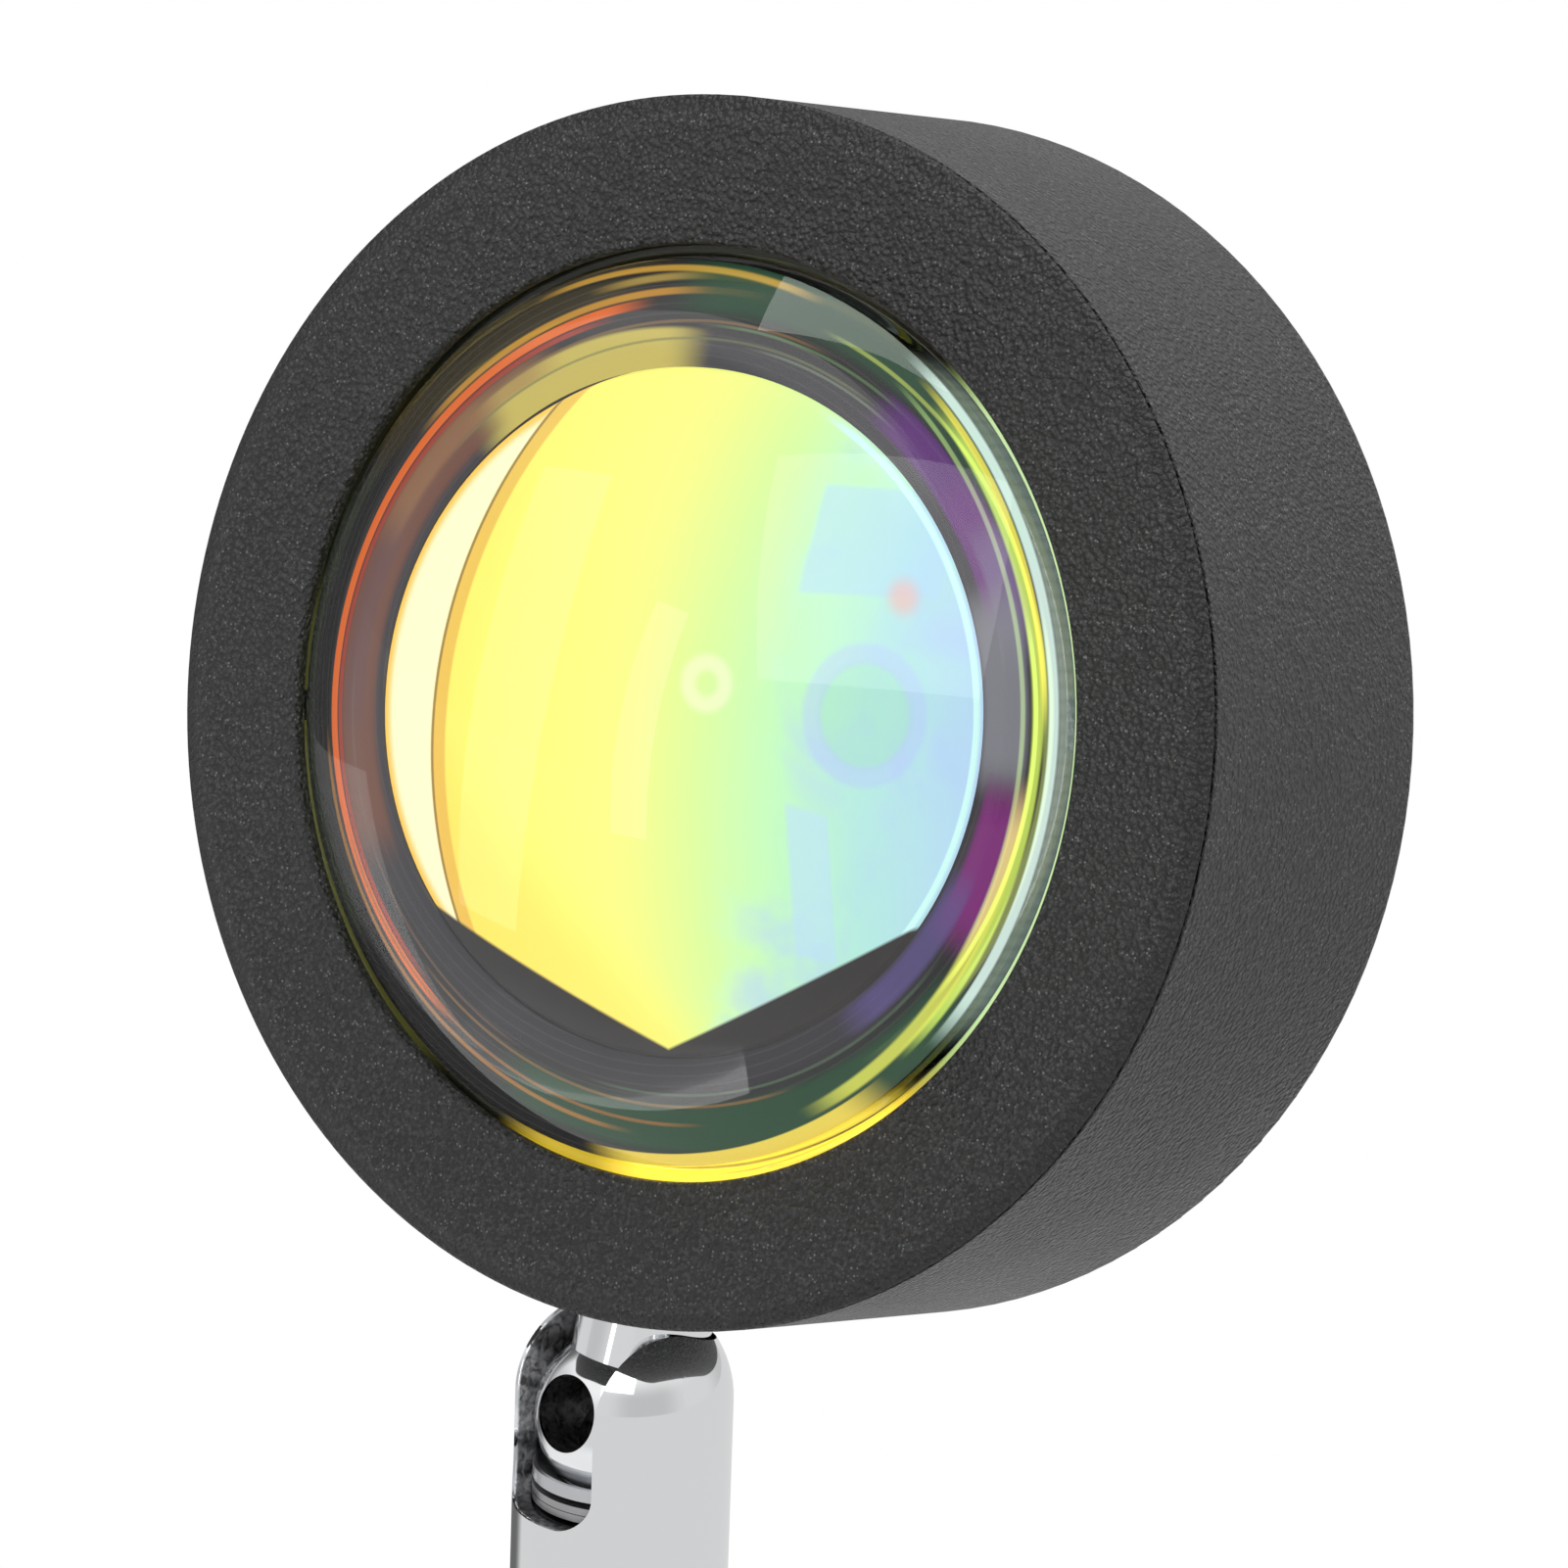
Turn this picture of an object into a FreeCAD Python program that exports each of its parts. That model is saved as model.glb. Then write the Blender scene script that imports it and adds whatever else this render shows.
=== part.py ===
"""A sunset projection lamp: a round head with a domed lens, held by a slotted ball swivel
on a chrome pole that stands on a heavy round base. Millimetres, +Z up, origin under the
middle of the base, the lens facing -Y. The lamp stands as it was photographed: the swivel
is turned a little to one side and the head leans back in it."""

import FreeCAD
import Part
import math
import os

Vec = FreeCAD.Vector
AXIS_X, AXIS_Y, AXIS_Z = Vec(1, 0, 0), Vec(0, 1, 0), Vec(0, 0, 1)

# ---- driving sizes ----------------------------------------------------------------
# How the lamp stands at rest, in degrees
SWIVEL_TURN = -20.5     # slot of the swivel, from straight ahead
STEM_LEAN = 13.6        # ball stem, leaning back from upright in the slot's plane

# Fits
PRESS_GAP = 0.05        # between pieces fixed in each other
RUN_GAP = 0.07          # between a shaft and the bore that it turns in
LOOSE_GAP = 0.10        # round studs and screws, and between stacked faces that turn

# Base
BASE_R = 50.0
BASE_T = 10.5
BASE_EDGE = 1.6
PAD_SETBACK = 0.9       # of the pad's edge, in from the grommet's flange
PAD_T = 1.5
NUT_WELL_R = 15.0
NUT_WELL_DEPTH = 7.2
BASE_STUD_R = 5.0
BASE_STUD_END = 2.5     # above the pad
BASE_WASHER_R = 9.5
BASE_WASHER_T = 1.0
BASE_NUT_FLATS = 16.0
BASE_NUT_T = 3.3
CORD_HOLE_R = 1.9
GROMMET_R = 2.9
GROMMET_LENGTH = 5.0
GROMMET_FLANGE_R = 4.0
GROMMET_FLANGE_T = 1.0
GROMMET_SEAT_GAP = 0.3
GROMMET_RISE = 3.1      # of its middle above the pad

# Pole and swivel
BALL_HEIGHT = 161.0
BALL_R = 5.95
TUBE_R = 7.29
SEAM_DROP = 24.0        # of the seam between pole and swivel, below the ball's middle
SEAM_GAP = 0.10
FOOT_PLUG_LENGTH = 14.0
WIRE_WAY_R = 3.0        # bore for the leads through plug, spigot and clamp screw
SPIGOT_TOP = 9.8        # above the seam
SPIGOT_DEPTH = 12.0     # below the seam
GROOVE_DEPTH = 1.3
GROOVE_HALF = 1.8
GROOVE_RISE = 5.6       # above the seam
STOP_ANGLE = 16.0       # of the rib that the groove leaves
SET_SCREW_R = 1.5
SET_SCREW_TIP = 5.0     # from the pole's axis
SET_SCREW_SINK = 0.25
SET_SOCKET_FLATS = 1.5
SET_SOCKET_DEPTH = 1.0

DOME_START = 1.3        # above the ball's middle
STEM_R = 4.5
STEM_WAY_R = 4.69       # hole and slot that the stem moves in
TILT_BACK = 15.6        # how far the hole reaches back from upright, in degrees
SLOT_END = 6.2          # bottom of the slot, below the ball's middle
SLOT_CORNER = 2.6
WIRE_BORE_R = 2.6
SIDE_BORE_TURN = 9.0    # side bore of the ball, to the right of the slot's plane
PRESSURE_TOP = 3.4      # below the ball's middle
PRESSURE_T = 0.9
PRESSURE_HOLE = 4.4
PRESSURE_RIM = 0.3      # flat rim outside the washer's coned seat
PRESSURE_LIP = 0.15
DISC_T = 0.5
DISC_RISE = 0.4
DISC_HOLE = 4.2
CLAMP_LENGTH = 6.0
CLAMP_SLOT_W = 1.2
CLAMP_SLOT_DEPTH = 1.5

# Head, whose depths are from the front face back
HEAD_R = 40.0
HEAD_DEPTH = 26.6
HEAD_RISE = 8.3         # of the head's lowest point above the ball's middle
STEM_DEPTH = 13.3       # of the stem's axis behind the face
WALL = 2.0
REAR_WALL = 2.2
REAR_EDGE = 0.8
RIM_DEPTH = 1.05
RIM_SEAM = 0.15
RIM_SLOPE_IN = 1.9      # sloped edge of the front ring, measured inwards
RIM_SLOPE_BACK = 0.7
FACE_T = 2.4
RING_FACE_W = 9.7       # from the head's edge in to the hole
HOLE_LIP = 0.9
CLIP_GROOVE_DEPTH = 0.7
COLLAR_T = 2.0
COLLAR_END = 6.0
STUD_R = 4.0
BOSS_R = 6.8
BOSS_TOP = 11.2         # above the ball's middle
STEM_WASHER_R = 6.0
STEM_WASHER_T = 0.8
STEM_NUT_FLATS = 11.0
STEM_NUT_T = 3.2
STUD_PROUD = 0.9
VENTS = 16
VENT_MID_R = 25.0
VENT_LENGTH = 9.0
VENT_W = 2.2

# Lens train
LENS_GAP = 1.0          # between the dome and the ring's hole
LENS_SAG = 12.0
LENS_FLANGE_W = 0.6     # beyond the dome
LENS_FLANGE_T = 2.8
LENS_RIM = -0.2         # depth at which the dome starts
LENS_REAR = 5.2
CLIP_T = 1.3
CLIP_SPLIT = 2.0
CLIP_SPLIT_ANGLE = 194.4
FILTER_R = 20.0
FILTER_T = 1.2
FILTER_VIEW_R = 18.6
HOLDER_FLANGE_END = 5.9
POCKET_GAP = 0.2
BARREL_R = 7.8
BARREL_T = 1.6
BARREL_START = 15.0

# Light source
BOARD_R = 14.5
BOARD_T = 1.2
BOARD_FRONT = 19.0
BOARD_SCREW_RING = 12.0
PACKAGE_SIDE = 8.0
PACKAGE_T = 0.8
EMITTER_R = 3.2
EMITTER_T = 0.4
CAP_R = 7.4
CAP_BORE = 6.2
CAP_FRONT = 15.5
CAP_BORE_END = 17.0
CAP_DOME = 4.0
REAR_SCREW_HEAD_R = 2.3
REAR_SCREW_HEAD_T = 1.3
REAR_SCREW_R = 1.25
BOARD_SCREW_HEAD_R = 1.8
BOARD_SCREW_HEAD_T = 1.2
BOARD_SCREW_R = 1.0
SINK_R = 27.0
SINK_T = 2.2
SINK_POST_R = 3.2
SCREW_RING = 18.0
SCREW_COUNT = 3
LEAD_R = 0.65
LEAD_BEND_DROP = 21.0   # of the leads' first bend, below the head's axis
LEAD_START = 6.5        # above the ball's middle
LEAD_SPREAD = 0.95      # of each lead from the middle
SLEEVE_R = 1.0
SLEEVE_LENGTH = 11.0


# ---- places that follow from the sizes --------------------------------------------
BASE_TOP = PAD_T + BASE_T
GROMMET_SEAT = BASE_R - GROMMET_FLANGE_T - LOOSE_GAP
PAD_R = GROMMET_SEAT - PAD_SETBACK
TUBE_BORE = BALL_R + RUN_GAP
WELL_TOP = PAD_T + NUT_WELL_DEPTH
SEAM = BALL_HEIGHT - SEAM_DROP
AXIS_RISE = HEAD_RISE + HEAD_R    # of the head's axis above the ball's middle
HOLE_R = HEAD_R - RING_FACE_W
CLIP_GROOVE_R = HOLE_R + CLIP_GROOVE_DEPTH
LENS_R = HOLE_R - LENS_GAP
LENS_FLANGE_R = LENS_R + LENS_FLANGE_W
INNER_R = HEAD_R - WALL
REAR_INSIDE = HEAD_DEPTH - REAR_WALL
SINK_FRONT = BOARD_FRONT + BOARD_T
FILTER_FRONT = LENS_REAR + PRESS_GAP
FLANGE_FRONT = LENS_REAR - LENS_FLANGE_T
TIGHT_R = TUBE_BORE - PRESS_GAP
WASHER_TOP = BOSS_TOP + LOOSE_GAP / 2 + STEM_WASHER_T
NUT_TOP = WASHER_TOP + STEM_NUT_T


# ---- helpers ----------------------------------------------------------------------
def corner_arc(point, before, after, radius):
    """Start, middle and end of the arc that rounds a corner of an outline."""
    here = Vec(point[0], point[1], 0)
    back = (Vec(before[0], before[1], 0) - here).normalize()
    on = (Vec(after[0], after[1], 0) - here).normalize()
    half = back.getAngle(on) / 2
    middle_way = (back + on).normalize()
    start = here + back * (radius / math.tan(half))
    end = here + on * (radius / math.tan(half))
    middle = here + middle_way * (radius / math.sin(half) - radius)
    return start, middle, end


def outline(points, place):
    """Closed wire through (a, b) points. A third value rounds that corner by its radius."""
    edges = []
    ends = []
    for i, point in enumerate(points):
        before, after = points[i - 1], points[(i + 1) % len(points)]
        if len(point) == 3:
            start, middle, end = corner_arc(point, before, after, point[2])
            arc = Part.Arc(place(start.x, start.y), place(middle.x, middle.y), place(end.x, end.y))
            edges.append(arc.toShape())
            ends.append((place(start.x, start.y), place(end.x, end.y)))
        else:
            here = place(point[0], point[1])
            ends.append((here, here))
    for i in range(len(points)):
        leave, arrive = ends[i][1], ends[(i + 1) % len(points)][0]
        edges.append(Part.LineSegment(leave, arrive).toShape())
    return Part.Wire(Part.__sortEdges__(edges))


def turned(points, angle=360):
    """Solid of revolution about the upright axis, from (radius, height) points."""
    wire = outline(points, lambda a, b: Vec(a, 0, b))
    return Part.Face(wire).revolve(Vec(0, 0, 0), AXIS_Z, angle)


def head_turned(points):
    """Solid of revolution about the head's axis, from (radius, depth) points."""
    wire = outline(points, lambda a, b: Vec(a, b - STEM_DEPTH, AXIS_RISE))
    return Part.Face(wire).revolve(Vec(0, 0, AXIS_RISE), AXIS_Y, 360)


def head_disc(radius, front, thickness, across=0.0, up=0.0):
    """Disc or pin along the head's axis, off that axis by across and up."""
    centre = Vec(across, front - STEM_DEPTH, AXIS_RISE + up)
    return Part.makeCylinder(radius, thickness, centre, AXIS_Y)


def post(radius, low, high):
    """Upright round bar on the upright axis."""
    return Part.makeCylinder(radius, high - low, Vec(0, 0, low), AXIS_Z)


def hex_bar(flats, low, length):
    """Hexagonal bar on the upright axis."""
    corner = flats / math.sqrt(3)
    turns = [math.radians(60 * i) for i in range(6)]
    points = [(corner * math.cos(a), corner * math.sin(a)) for a in turns]
    wire = outline(points, lambda a, b: Vec(a, b, low))
    return Part.Face(wire).extrude(AXIS_Z * length)


def hex_nut(flats, bore, low, thickness):
    """Hexagonal nut on the upright axis, its corners eased."""
    corner = flats / math.sqrt(3)
    high = low + thickness
    ease = (corner - flats / 2) * 0.6
    profile = [(0, low), (corner - ease, low), (corner, low + ease)]
    profile += [(corner, high - ease), (corner - ease, high), (0, high)]
    body = hex_bar(flats, low, thickness).common(turned(profile))
    return body.cut(post(bore, low - 1, high + 1))


def routed_tube(points, radius, bend):
    """Round tube along straight runs joined by tangent arcs of one bend radius."""
    points = [Vec(*p) for p in points]
    edges = []
    leave = points[0]
    for before, here, after in zip(points, points[1:], points[2:]):
        back = (before - here).normalize()
        on = (after - here).normalize()
        half = back.getAngle(on) / 2
        start = here + back * (bend / math.tan(half))
        end = here + on * (bend / math.tan(half))
        middle = here + (back + on).normalize() * (bend / math.sin(half) - bend)
        edges.append(Part.LineSegment(leave, start).toShape())
        edges.append(Part.Arc(start, middle, end).toShape())
        leave = end
    edges.append(Part.LineSegment(leave, points[-1]).toShape())
    spine = Part.Wire(edges)
    ring = Part.Wire(Part.makeCircle(radius, points[0], points[1] - points[0]))
    return spine.makePipeShell([ring], True, False)


def cross_recess(width, length, depth):
    """Cross-shaped driver recess that reaches down from the origin's plane."""
    bar = Part.makeBox(length, width, depth * 2, Vec(-length / 2, -width / 2, -depth))
    other = Part.makeBox(width, length, depth * 2, Vec(-width / 2, -length / 2, -depth))
    return bar.fuse(other)


def pan_screw(head_r, head_t, shank_r, length):
    """Pan-head screw along -Z, the underside of its head on the origin's plane."""
    head = turned([(0, 0), (head_r, 0), (head_r, head_t, head_t * 0.6), (0, head_t)])
    recess = cross_recess(head_r * 0.3, head_r * 1.3, head_t * 0.55)
    recess.translate(AXIS_Z * head_t)
    return head.cut(recess).fuse(post(shank_r, -length, 0)).removeSplitter()


def along_head(shape, depth, across, up, facing_back):
    """Stands a shape made along +Z at a depth on the head, its top to the front or back."""
    shape = shape.copy()
    shape.rotate(Vec(0, 0, 0), AXIS_X, -90 if facing_back else 90)
    shape.translate(Vec(across, depth - STEM_DEPTH, AXIS_RISE + up))
    return shape


def ring_places(count, radius, start=90.0):
    """(across, up) of evenly spaced points on a ring round the head's axis."""
    turns = [math.radians(start + 360 * i / count) for i in range(count)]
    return [(radius * math.cos(a), radius * math.sin(a)) for a in turns]


# ---- placing ----------------------------------------------------------------------
def in_swivel(shape):
    """From the swivel's own frame, ball at the origin and slot to the front, to the lamp's."""
    shape = shape.copy()
    shape.rotate(Vec(0, 0, 0), AXIS_Z, SWIVEL_TURN)
    shape.translate(AXIS_Z * BALL_HEIGHT)
    return shape


def on_stem(shape):
    """From the ball stem's own frame, stem upright, to the lamp's."""
    shape = shape.copy()
    shape.rotate(Vec(0, 0, 0), AXIS_X, -STEM_LEAN)
    return in_swivel(shape)


def on_head(shape):
    """From the head's own frame to the lamp's. The head is turned on the stem to face -Y."""
    lean, turn = math.radians(STEM_LEAN), math.radians(SWIVEL_TURN)
    spin = math.degrees(math.atan(-math.cos(lean) * math.tan(turn)))
    shape = shape.copy()
    shape.rotate(Vec(0, 0, 0), AXIS_Z, spin)
    return on_stem(shape)


# ---- stand ------------------------------------------------------------------------
def foot_pad():
    return turned([(0, 0), (PAD_R, 0), (PAD_R, PAD_T), (0, PAD_T)])


def grommet_place():
    return PAD_T + GROMMET_RISE


def arch_cutter(half_width, start, length):
    """Cutter along +Y with a round top about the grommet's middle, open at the bottom."""
    height, floor = grommet_place(), 0
    left, right = Vec(-half_width, start, height), Vec(half_width, start, height)
    low_right, low_left = Vec(half_width, start, floor), Vec(-half_width, start, floor)
    edges = [
        Part.Arc(left, Vec(0, start, height + half_width), right),
        Part.LineSegment(right, low_right),
        Part.LineSegment(low_right, low_left),
        Part.LineSegment(low_left, left),
    ]
    wire = Part.Wire([edge.toShape() for edge in edges])
    return Part.Face(wire).extrude(AXIS_Y * length)


def base_disc():
    edge = [(BASE_R, PAD_T, 0.5), (BASE_R, BASE_TOP, BASE_EDGE)]
    disc = turned([(0, PAD_T), *edge, (0, BASE_TOP)])
    disc = disc.cut(post(NUT_WELL_R, PAD_T - 1, WELL_TOP))
    disc = disc.cut(post(BASE_STUD_R + LOOSE_GAP, PAD_T, BASE_TOP + 1))
    channel = arch_cutter(GROMMET_R + LOOSE_GAP / 2, NUT_WELL_R / 2, BASE_R)
    seat = arch_cutter(GROMMET_FLANGE_R + GROMMET_SEAT_GAP, GROMMET_SEAT, BASE_R)
    return disc.cut(channel).cut(seat)


def cord_grommet():
    height = grommet_place()
    body_start = Vec(0, GROMMET_SEAT - GROMMET_LENGTH, height)
    body = Part.makeCylinder(GROMMET_R, GROMMET_LENGTH, body_start, AXIS_Y)
    flange_at = Vec(0, GROMMET_SEAT, height)
    flange = Part.makeCylinder(GROMMET_FLANGE_R, GROMMET_FLANGE_T, flange_at, AXIS_Y)
    hole = Part.makeCylinder(CORD_HOLE_R, BASE_R, body_start - AXIS_Y, AXIS_Y)
    return body.fuse(flange).cut(hole).removeSplitter()


def base_washer():
    low = WELL_TOP - BASE_WASHER_T
    hole = BASE_STUD_R + 2 * LOOSE_GAP
    return post(BASE_WASHER_R, low, WELL_TOP).cut(post(hole, low - 1, WELL_TOP + 1))


def base_nut():
    low = WELL_TOP - BASE_WASHER_T - BASE_NUT_T
    return hex_nut(BASE_NUT_FLATS, BASE_STUD_R, low, BASE_NUT_T)


def foot_plug():
    end = PAD_T + BASE_STUD_END
    top = BASE_TOP + FOOT_PLUG_LENGTH
    body = [(WIRE_WAY_R, end), (BASE_STUD_R, end, 0.4), (BASE_STUD_R, BASE_TOP)]
    body += [(TIGHT_R, BASE_TOP), (TIGHT_R, top, 0.5), (WIRE_WAY_R, top)]
    return turned(body)


def pole():
    low, high = BASE_TOP, SEAM - SEAM_GAP
    rim = [(TUBE_BORE, low), (TUBE_R, low), (TUBE_R, high, 0.2), (TUBE_BORE, high)]
    return turned(rim)


def pivot_spigot():
    """Bush fixed in the pole's top. The set screw runs in its groove as far as the rib."""
    low, high = SEAM - SPIGOT_DEPTH, SEAM + SPIGOT_TOP
    run_r = TUBE_BORE - RUN_GAP
    body = [(WIRE_WAY_R, low), (TIGHT_R, low, 0.4), (TIGHT_R, SEAM - SEAM_GAP)]
    body += [(run_r, SEAM - SEAM_GAP), (run_r, high, 0.4), (WIRE_WAY_R, high)]
    mid = SEAM + GROOVE_RISE
    floor = run_r - GROOVE_DEPTH
    cut = [(floor, mid - GROOVE_HALF), (TUBE_R, mid - GROOVE_HALF)]
    cut += [(TUBE_R, mid + GROOVE_HALF), (floor, mid + GROOVE_HALF)]
    groove = turned(cut, 360 - STOP_ANGLE)
    rib_middle = -90 + SWIVEL_TURN
    groove.rotate(Vec(0, 0, 0), AXIS_Z, rib_middle + STOP_ANGLE / 2)
    return turned(body).cut(groove)


def lead_route(side):
    """Down the pole, then back along the base to the splice, for the lead on one side."""
    low = PAD_T + SLEEVE_R + 0.15
    x = side * LEAD_SPREAD
    start = BALL_HEIGHT - BALL_R - 2 * LOOSE_GAP
    return [(x, 0, start), (x, 0, low), (x, lead_end(), low)]


def lead_end():
    return NUT_WELL_R - 4.0


def pole_leads():
    tubes = [routed_tube(lead_route(side), LEAD_R, 1.5) for side in (-1, 1)]
    return Part.makeCompound(tubes)


def splice_sleeves():
    """Shrink sleeves on the soldered ends, where the supply cord's cores would join."""
    low = PAD_T + SLEEVE_R + 0.15
    side = max(LEAD_SPREAD, SLEEVE_R + 0.1)
    places = [Vec(s * side, lead_end() + PRESS_GAP, low) for s in (-1, 1)]
    return Part.makeCompound([Part.makeCylinder(SLEEVE_R, SLEEVE_LENGTH, p, AXIS_Y) for p in places])


# ---- swivel -----------------------------------------------------------------------
def slot_cutter():
    """Way of the stem: a hole that leans back, and a slot down the front."""
    reach = 2 * TUBE_R
    back = math.radians(TILT_BACK)
    back_way = Vec(0, math.sin(back), math.cos(back))
    hole = Part.makeCylinder(STEM_WAY_R, reach, Vec(0, 0, 0), back_way)
    side = -AXIS_X * STEM_WAY_R
    corners = [side, side + back_way * reach, side + (back_way - AXIS_Y) * reach]
    corners += [side - AXIS_Y * reach, side]
    slab = Part.Face(Part.makePolygon(corners)).extrude(AXIS_X * (2 * STEM_WAY_R))
    low = -SLOT_END
    end = [(-STEM_WAY_R, 1), (-STEM_WAY_R, low, SLOT_CORNER)]
    end += [(STEM_WAY_R, low, SLOT_CORNER), (STEM_WAY_R, 1)]
    slot = Part.Face(outline(end, lambda a, b: Vec(a, 0, b))).extrude(-AXIS_Y * reach)
    return hole.fuse(slab).fuse(slot)


def swivel_body():
    """Tube with a domed end. The ball bears on the round end of its bore."""
    low = -SEAM_DROP
    tube = post(TUBE_R, low, DOME_START)
    dome = Part.makeSphere(TUBE_R, Vec(0, 0, DOME_START))
    bore = post(TUBE_BORE, low - 1, 0).fuse(Part.makeSphere(TUBE_BORE))
    body = tube.fuse(dome).cut(bore).cut(slot_cutter())
    screw_way = Part.makeCylinder(SET_SCREW_R, TUBE_R, Vec(0, 1, low + GROOVE_RISE), AXIS_Y)
    return body.cut(screw_way).removeSplitter()


def pressure_washer():
    """Ring with a coned seat that the ball stands in."""
    low, high = -PRESSURE_TOP - PRESSURE_T, -PRESSURE_TOP
    ring = [(PRESSURE_HOLE, low), (TIGHT_R, low), (TIGHT_R, high)]
    ring += [(TIGHT_R - PRESSURE_RIM, high), (PRESSURE_HOLE, low + PRESSURE_LIP)]
    return turned(ring)


def disc_springs():
    """Two coned spring washers set rim to rim. They press the ball up into its seat."""
    top = -PRESSURE_TOP - PRESSURE_T - PRESS_GAP
    hollow, rim = DISC_HOLE, TIGHT_R
    upper = [(hollow, top - DISC_T), (rim, top - DISC_T - DISC_RISE)]
    upper += [(rim, top - DISC_RISE), (hollow, top)]
    floor = top - 2 * (DISC_T + DISC_RISE) - PRESS_GAP
    lower = [(hollow, floor), (rim, floor + DISC_RISE)]
    lower += [(rim, floor + DISC_RISE + DISC_T), (hollow, floor + DISC_T)]
    return Part.makeCompound([turned(upper), turned(lower)])


def clamp_top():
    stack = PRESSURE_T + 2 * (DISC_T + DISC_RISE) + 3 * PRESS_GAP
    return -PRESSURE_TOP - stack


def clamp_screw():
    high = clamp_top()
    low = high - CLAMP_LENGTH
    body = [(WIRE_WAY_R, low), (TIGHT_R, low, 0.4), (TIGHT_R, high, 0.4), (WIRE_WAY_R, high)]
    slot = Part.makeBox(2 * TUBE_R, CLAMP_SLOT_W, CLAMP_SLOT_DEPTH)
    slot.translate(Vec(-TUBE_R, -CLAMP_SLOT_W / 2, low))
    return turned(body).cut(slot)


def set_screw():
    """Headless screw at the back of the swivel, its point in the spigot's groove."""
    length = TUBE_R - SET_SCREW_SINK - SET_SCREW_TIP
    screw = post(SET_SCREW_R, 0, length)
    socket = hex_bar(SET_SOCKET_FLATS, length - SET_SOCKET_DEPTH, SET_SOCKET_DEPTH + 1)
    screw = screw.cut(socket)
    screw.rotate(Vec(0, 0, 0), AXIS_X, -90)
    screw.translate(Vec(0, SET_SCREW_TIP, -SEAM_DROP + GROOVE_RISE))
    return screw


# ---- ball and stem ----------------------------------------------------------------
def ball_stem():
    shoulder = HEAD_RISE - LOOSE_GAP / 2
    stud_top = NUT_TOP + STUD_PROUD
    ball = Part.makeSphere(BALL_R)
    profile = [(0, 0), (STEM_R, 0), (STEM_R, shoulder), (STUD_R, shoulder)]
    profile += [(STUD_R, stud_top, 0.5), (0, stud_top)]
    piece = ball.fuse(turned(profile)).removeSplitter()
    bore = post(WIRE_BORE_R, -BALL_R - 1, stud_top + 1)
    front = Part.makeCylinder(WIRE_BORE_R, BALL_R + 1, Vec(0, 0, 0), -AXIS_Y)
    front.rotate(Vec(0, 0, 0), AXIS_Z, SIDE_BORE_TURN)
    return piece.cut(bore.fuse(front))


def stem_washer():
    low = BOSS_TOP + LOOSE_GAP / 2
    ring = post(STEM_WASHER_R, low, low + STEM_WASHER_T)
    return ring.cut(post(STUD_R + LOOSE_GAP / 2, low - 1, low + STEM_WASHER_T + 1))


def stem_nut():
    return hex_nut(STEM_NUT_FLATS, STUD_R, WASHER_TOP, STEM_NUT_T)


# ---- head -------------------------------------------------------------------------
def vent_cutter(turn):
    slot = Part.makeBox(VENT_W, REAR_WALL + 2, VENT_LENGTH - VENT_W)
    slot.translate(Vec(-VENT_W / 2, 0, VENT_MID_R - (VENT_LENGTH - VENT_W) / 2))
    for end in (-1, 1):
        middle = Vec(0, 0, VENT_MID_R + end * (VENT_LENGTH - VENT_W) / 2)
        slot = slot.fuse(Part.makeCylinder(VENT_W / 2, REAR_WALL + 2, middle, AXIS_Y))
    slot.rotate(Vec(0, 0, 0), AXIS_Y, turn)
    slot.translate(Vec(0, REAR_INSIDE - 1 - STEM_DEPTH, AXIS_RISE))
    return slot


def rear_screw_seat():
    """Depth of the face that the rear screws' heads press on."""
    return HEAD_DEPTH - REAR_SCREW_HEAD_T - LOOSE_GAP


def head_shell():
    front = RIM_DEPTH + RIM_SEAM
    cup = [(0, HEAD_DEPTH), (HEAD_R, HEAD_DEPTH, REAR_EDGE), (HEAD_R, front, 0.15)]
    cup += [(INNER_R, front), (INNER_R, REAR_INSIDE, 1.0), (0, REAR_INSIDE)]
    shell = head_turned(cup)
    boss = post(BOSS_R, HEAD_RISE + WALL / 2, BOSS_TOP)
    shell = shell.fuse(boss.common(head_disc(HEAD_R - WALL / 2, front, REAR_INSIDE)))
    shell = shell.cut(post(STUD_R + LOOSE_GAP, 0, BOSS_TOP + 1)).removeSplitter()
    for i in range(VENTS):
        shell = shell.cut(vent_cutter(360 * (i + 0.5) / VENTS))
    for across, up in ring_places(SCREW_COUNT, SCREW_RING):
        sunk = rear_screw_seat()
        way = head_disc(REAR_SCREW_HEAD_R + 2 * LOOSE_GAP, sunk, REAR_WALL, across, up)
        shank = REAR_SCREW_R + LOOSE_GAP
        shell = shell.cut(way).cut(head_disc(shank, REAR_INSIDE - 1, REAR_WALL + 2, across, up))
    return shell


def front_ring():
    collar_out = INNER_R - PRESS_GAP
    collar_in = collar_out - COLLAR_T
    slope_start, slope_end = (HEAD_R - RIM_SLOPE_IN, 0, 2.5), (HEAD_R, RIM_SLOPE_BACK, 0.4)
    ring = [(HOLE_R, 0, 0.35), slope_start, slope_end, (HEAD_R, RIM_DEPTH)]
    ring += [(collar_out, RIM_DEPTH), (collar_out, COLLAR_END), (collar_in, COLLAR_END)]
    ring += [(collar_in, FACE_T), (CLIP_GROOVE_R, FACE_T), (CLIP_GROOVE_R, HOLE_LIP)]
    ring += [(HOLE_R, HOLE_LIP)]
    return head_turned(ring)


def domed_disc(radius, rim, rise, back):
    """Disc about the head's axis with a domed front. The dome starts at the rim's depth."""
    ball_r = (radius ** 2 + rise ** 2) / (2 * rise)
    apex = rim - rise
    ball = Part.makeSphere(ball_r, Vec(0, apex + ball_r - STEM_DEPTH, AXIS_RISE))
    return head_disc(radius, apex - 1, back - apex + 1).common(ball)


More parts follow.
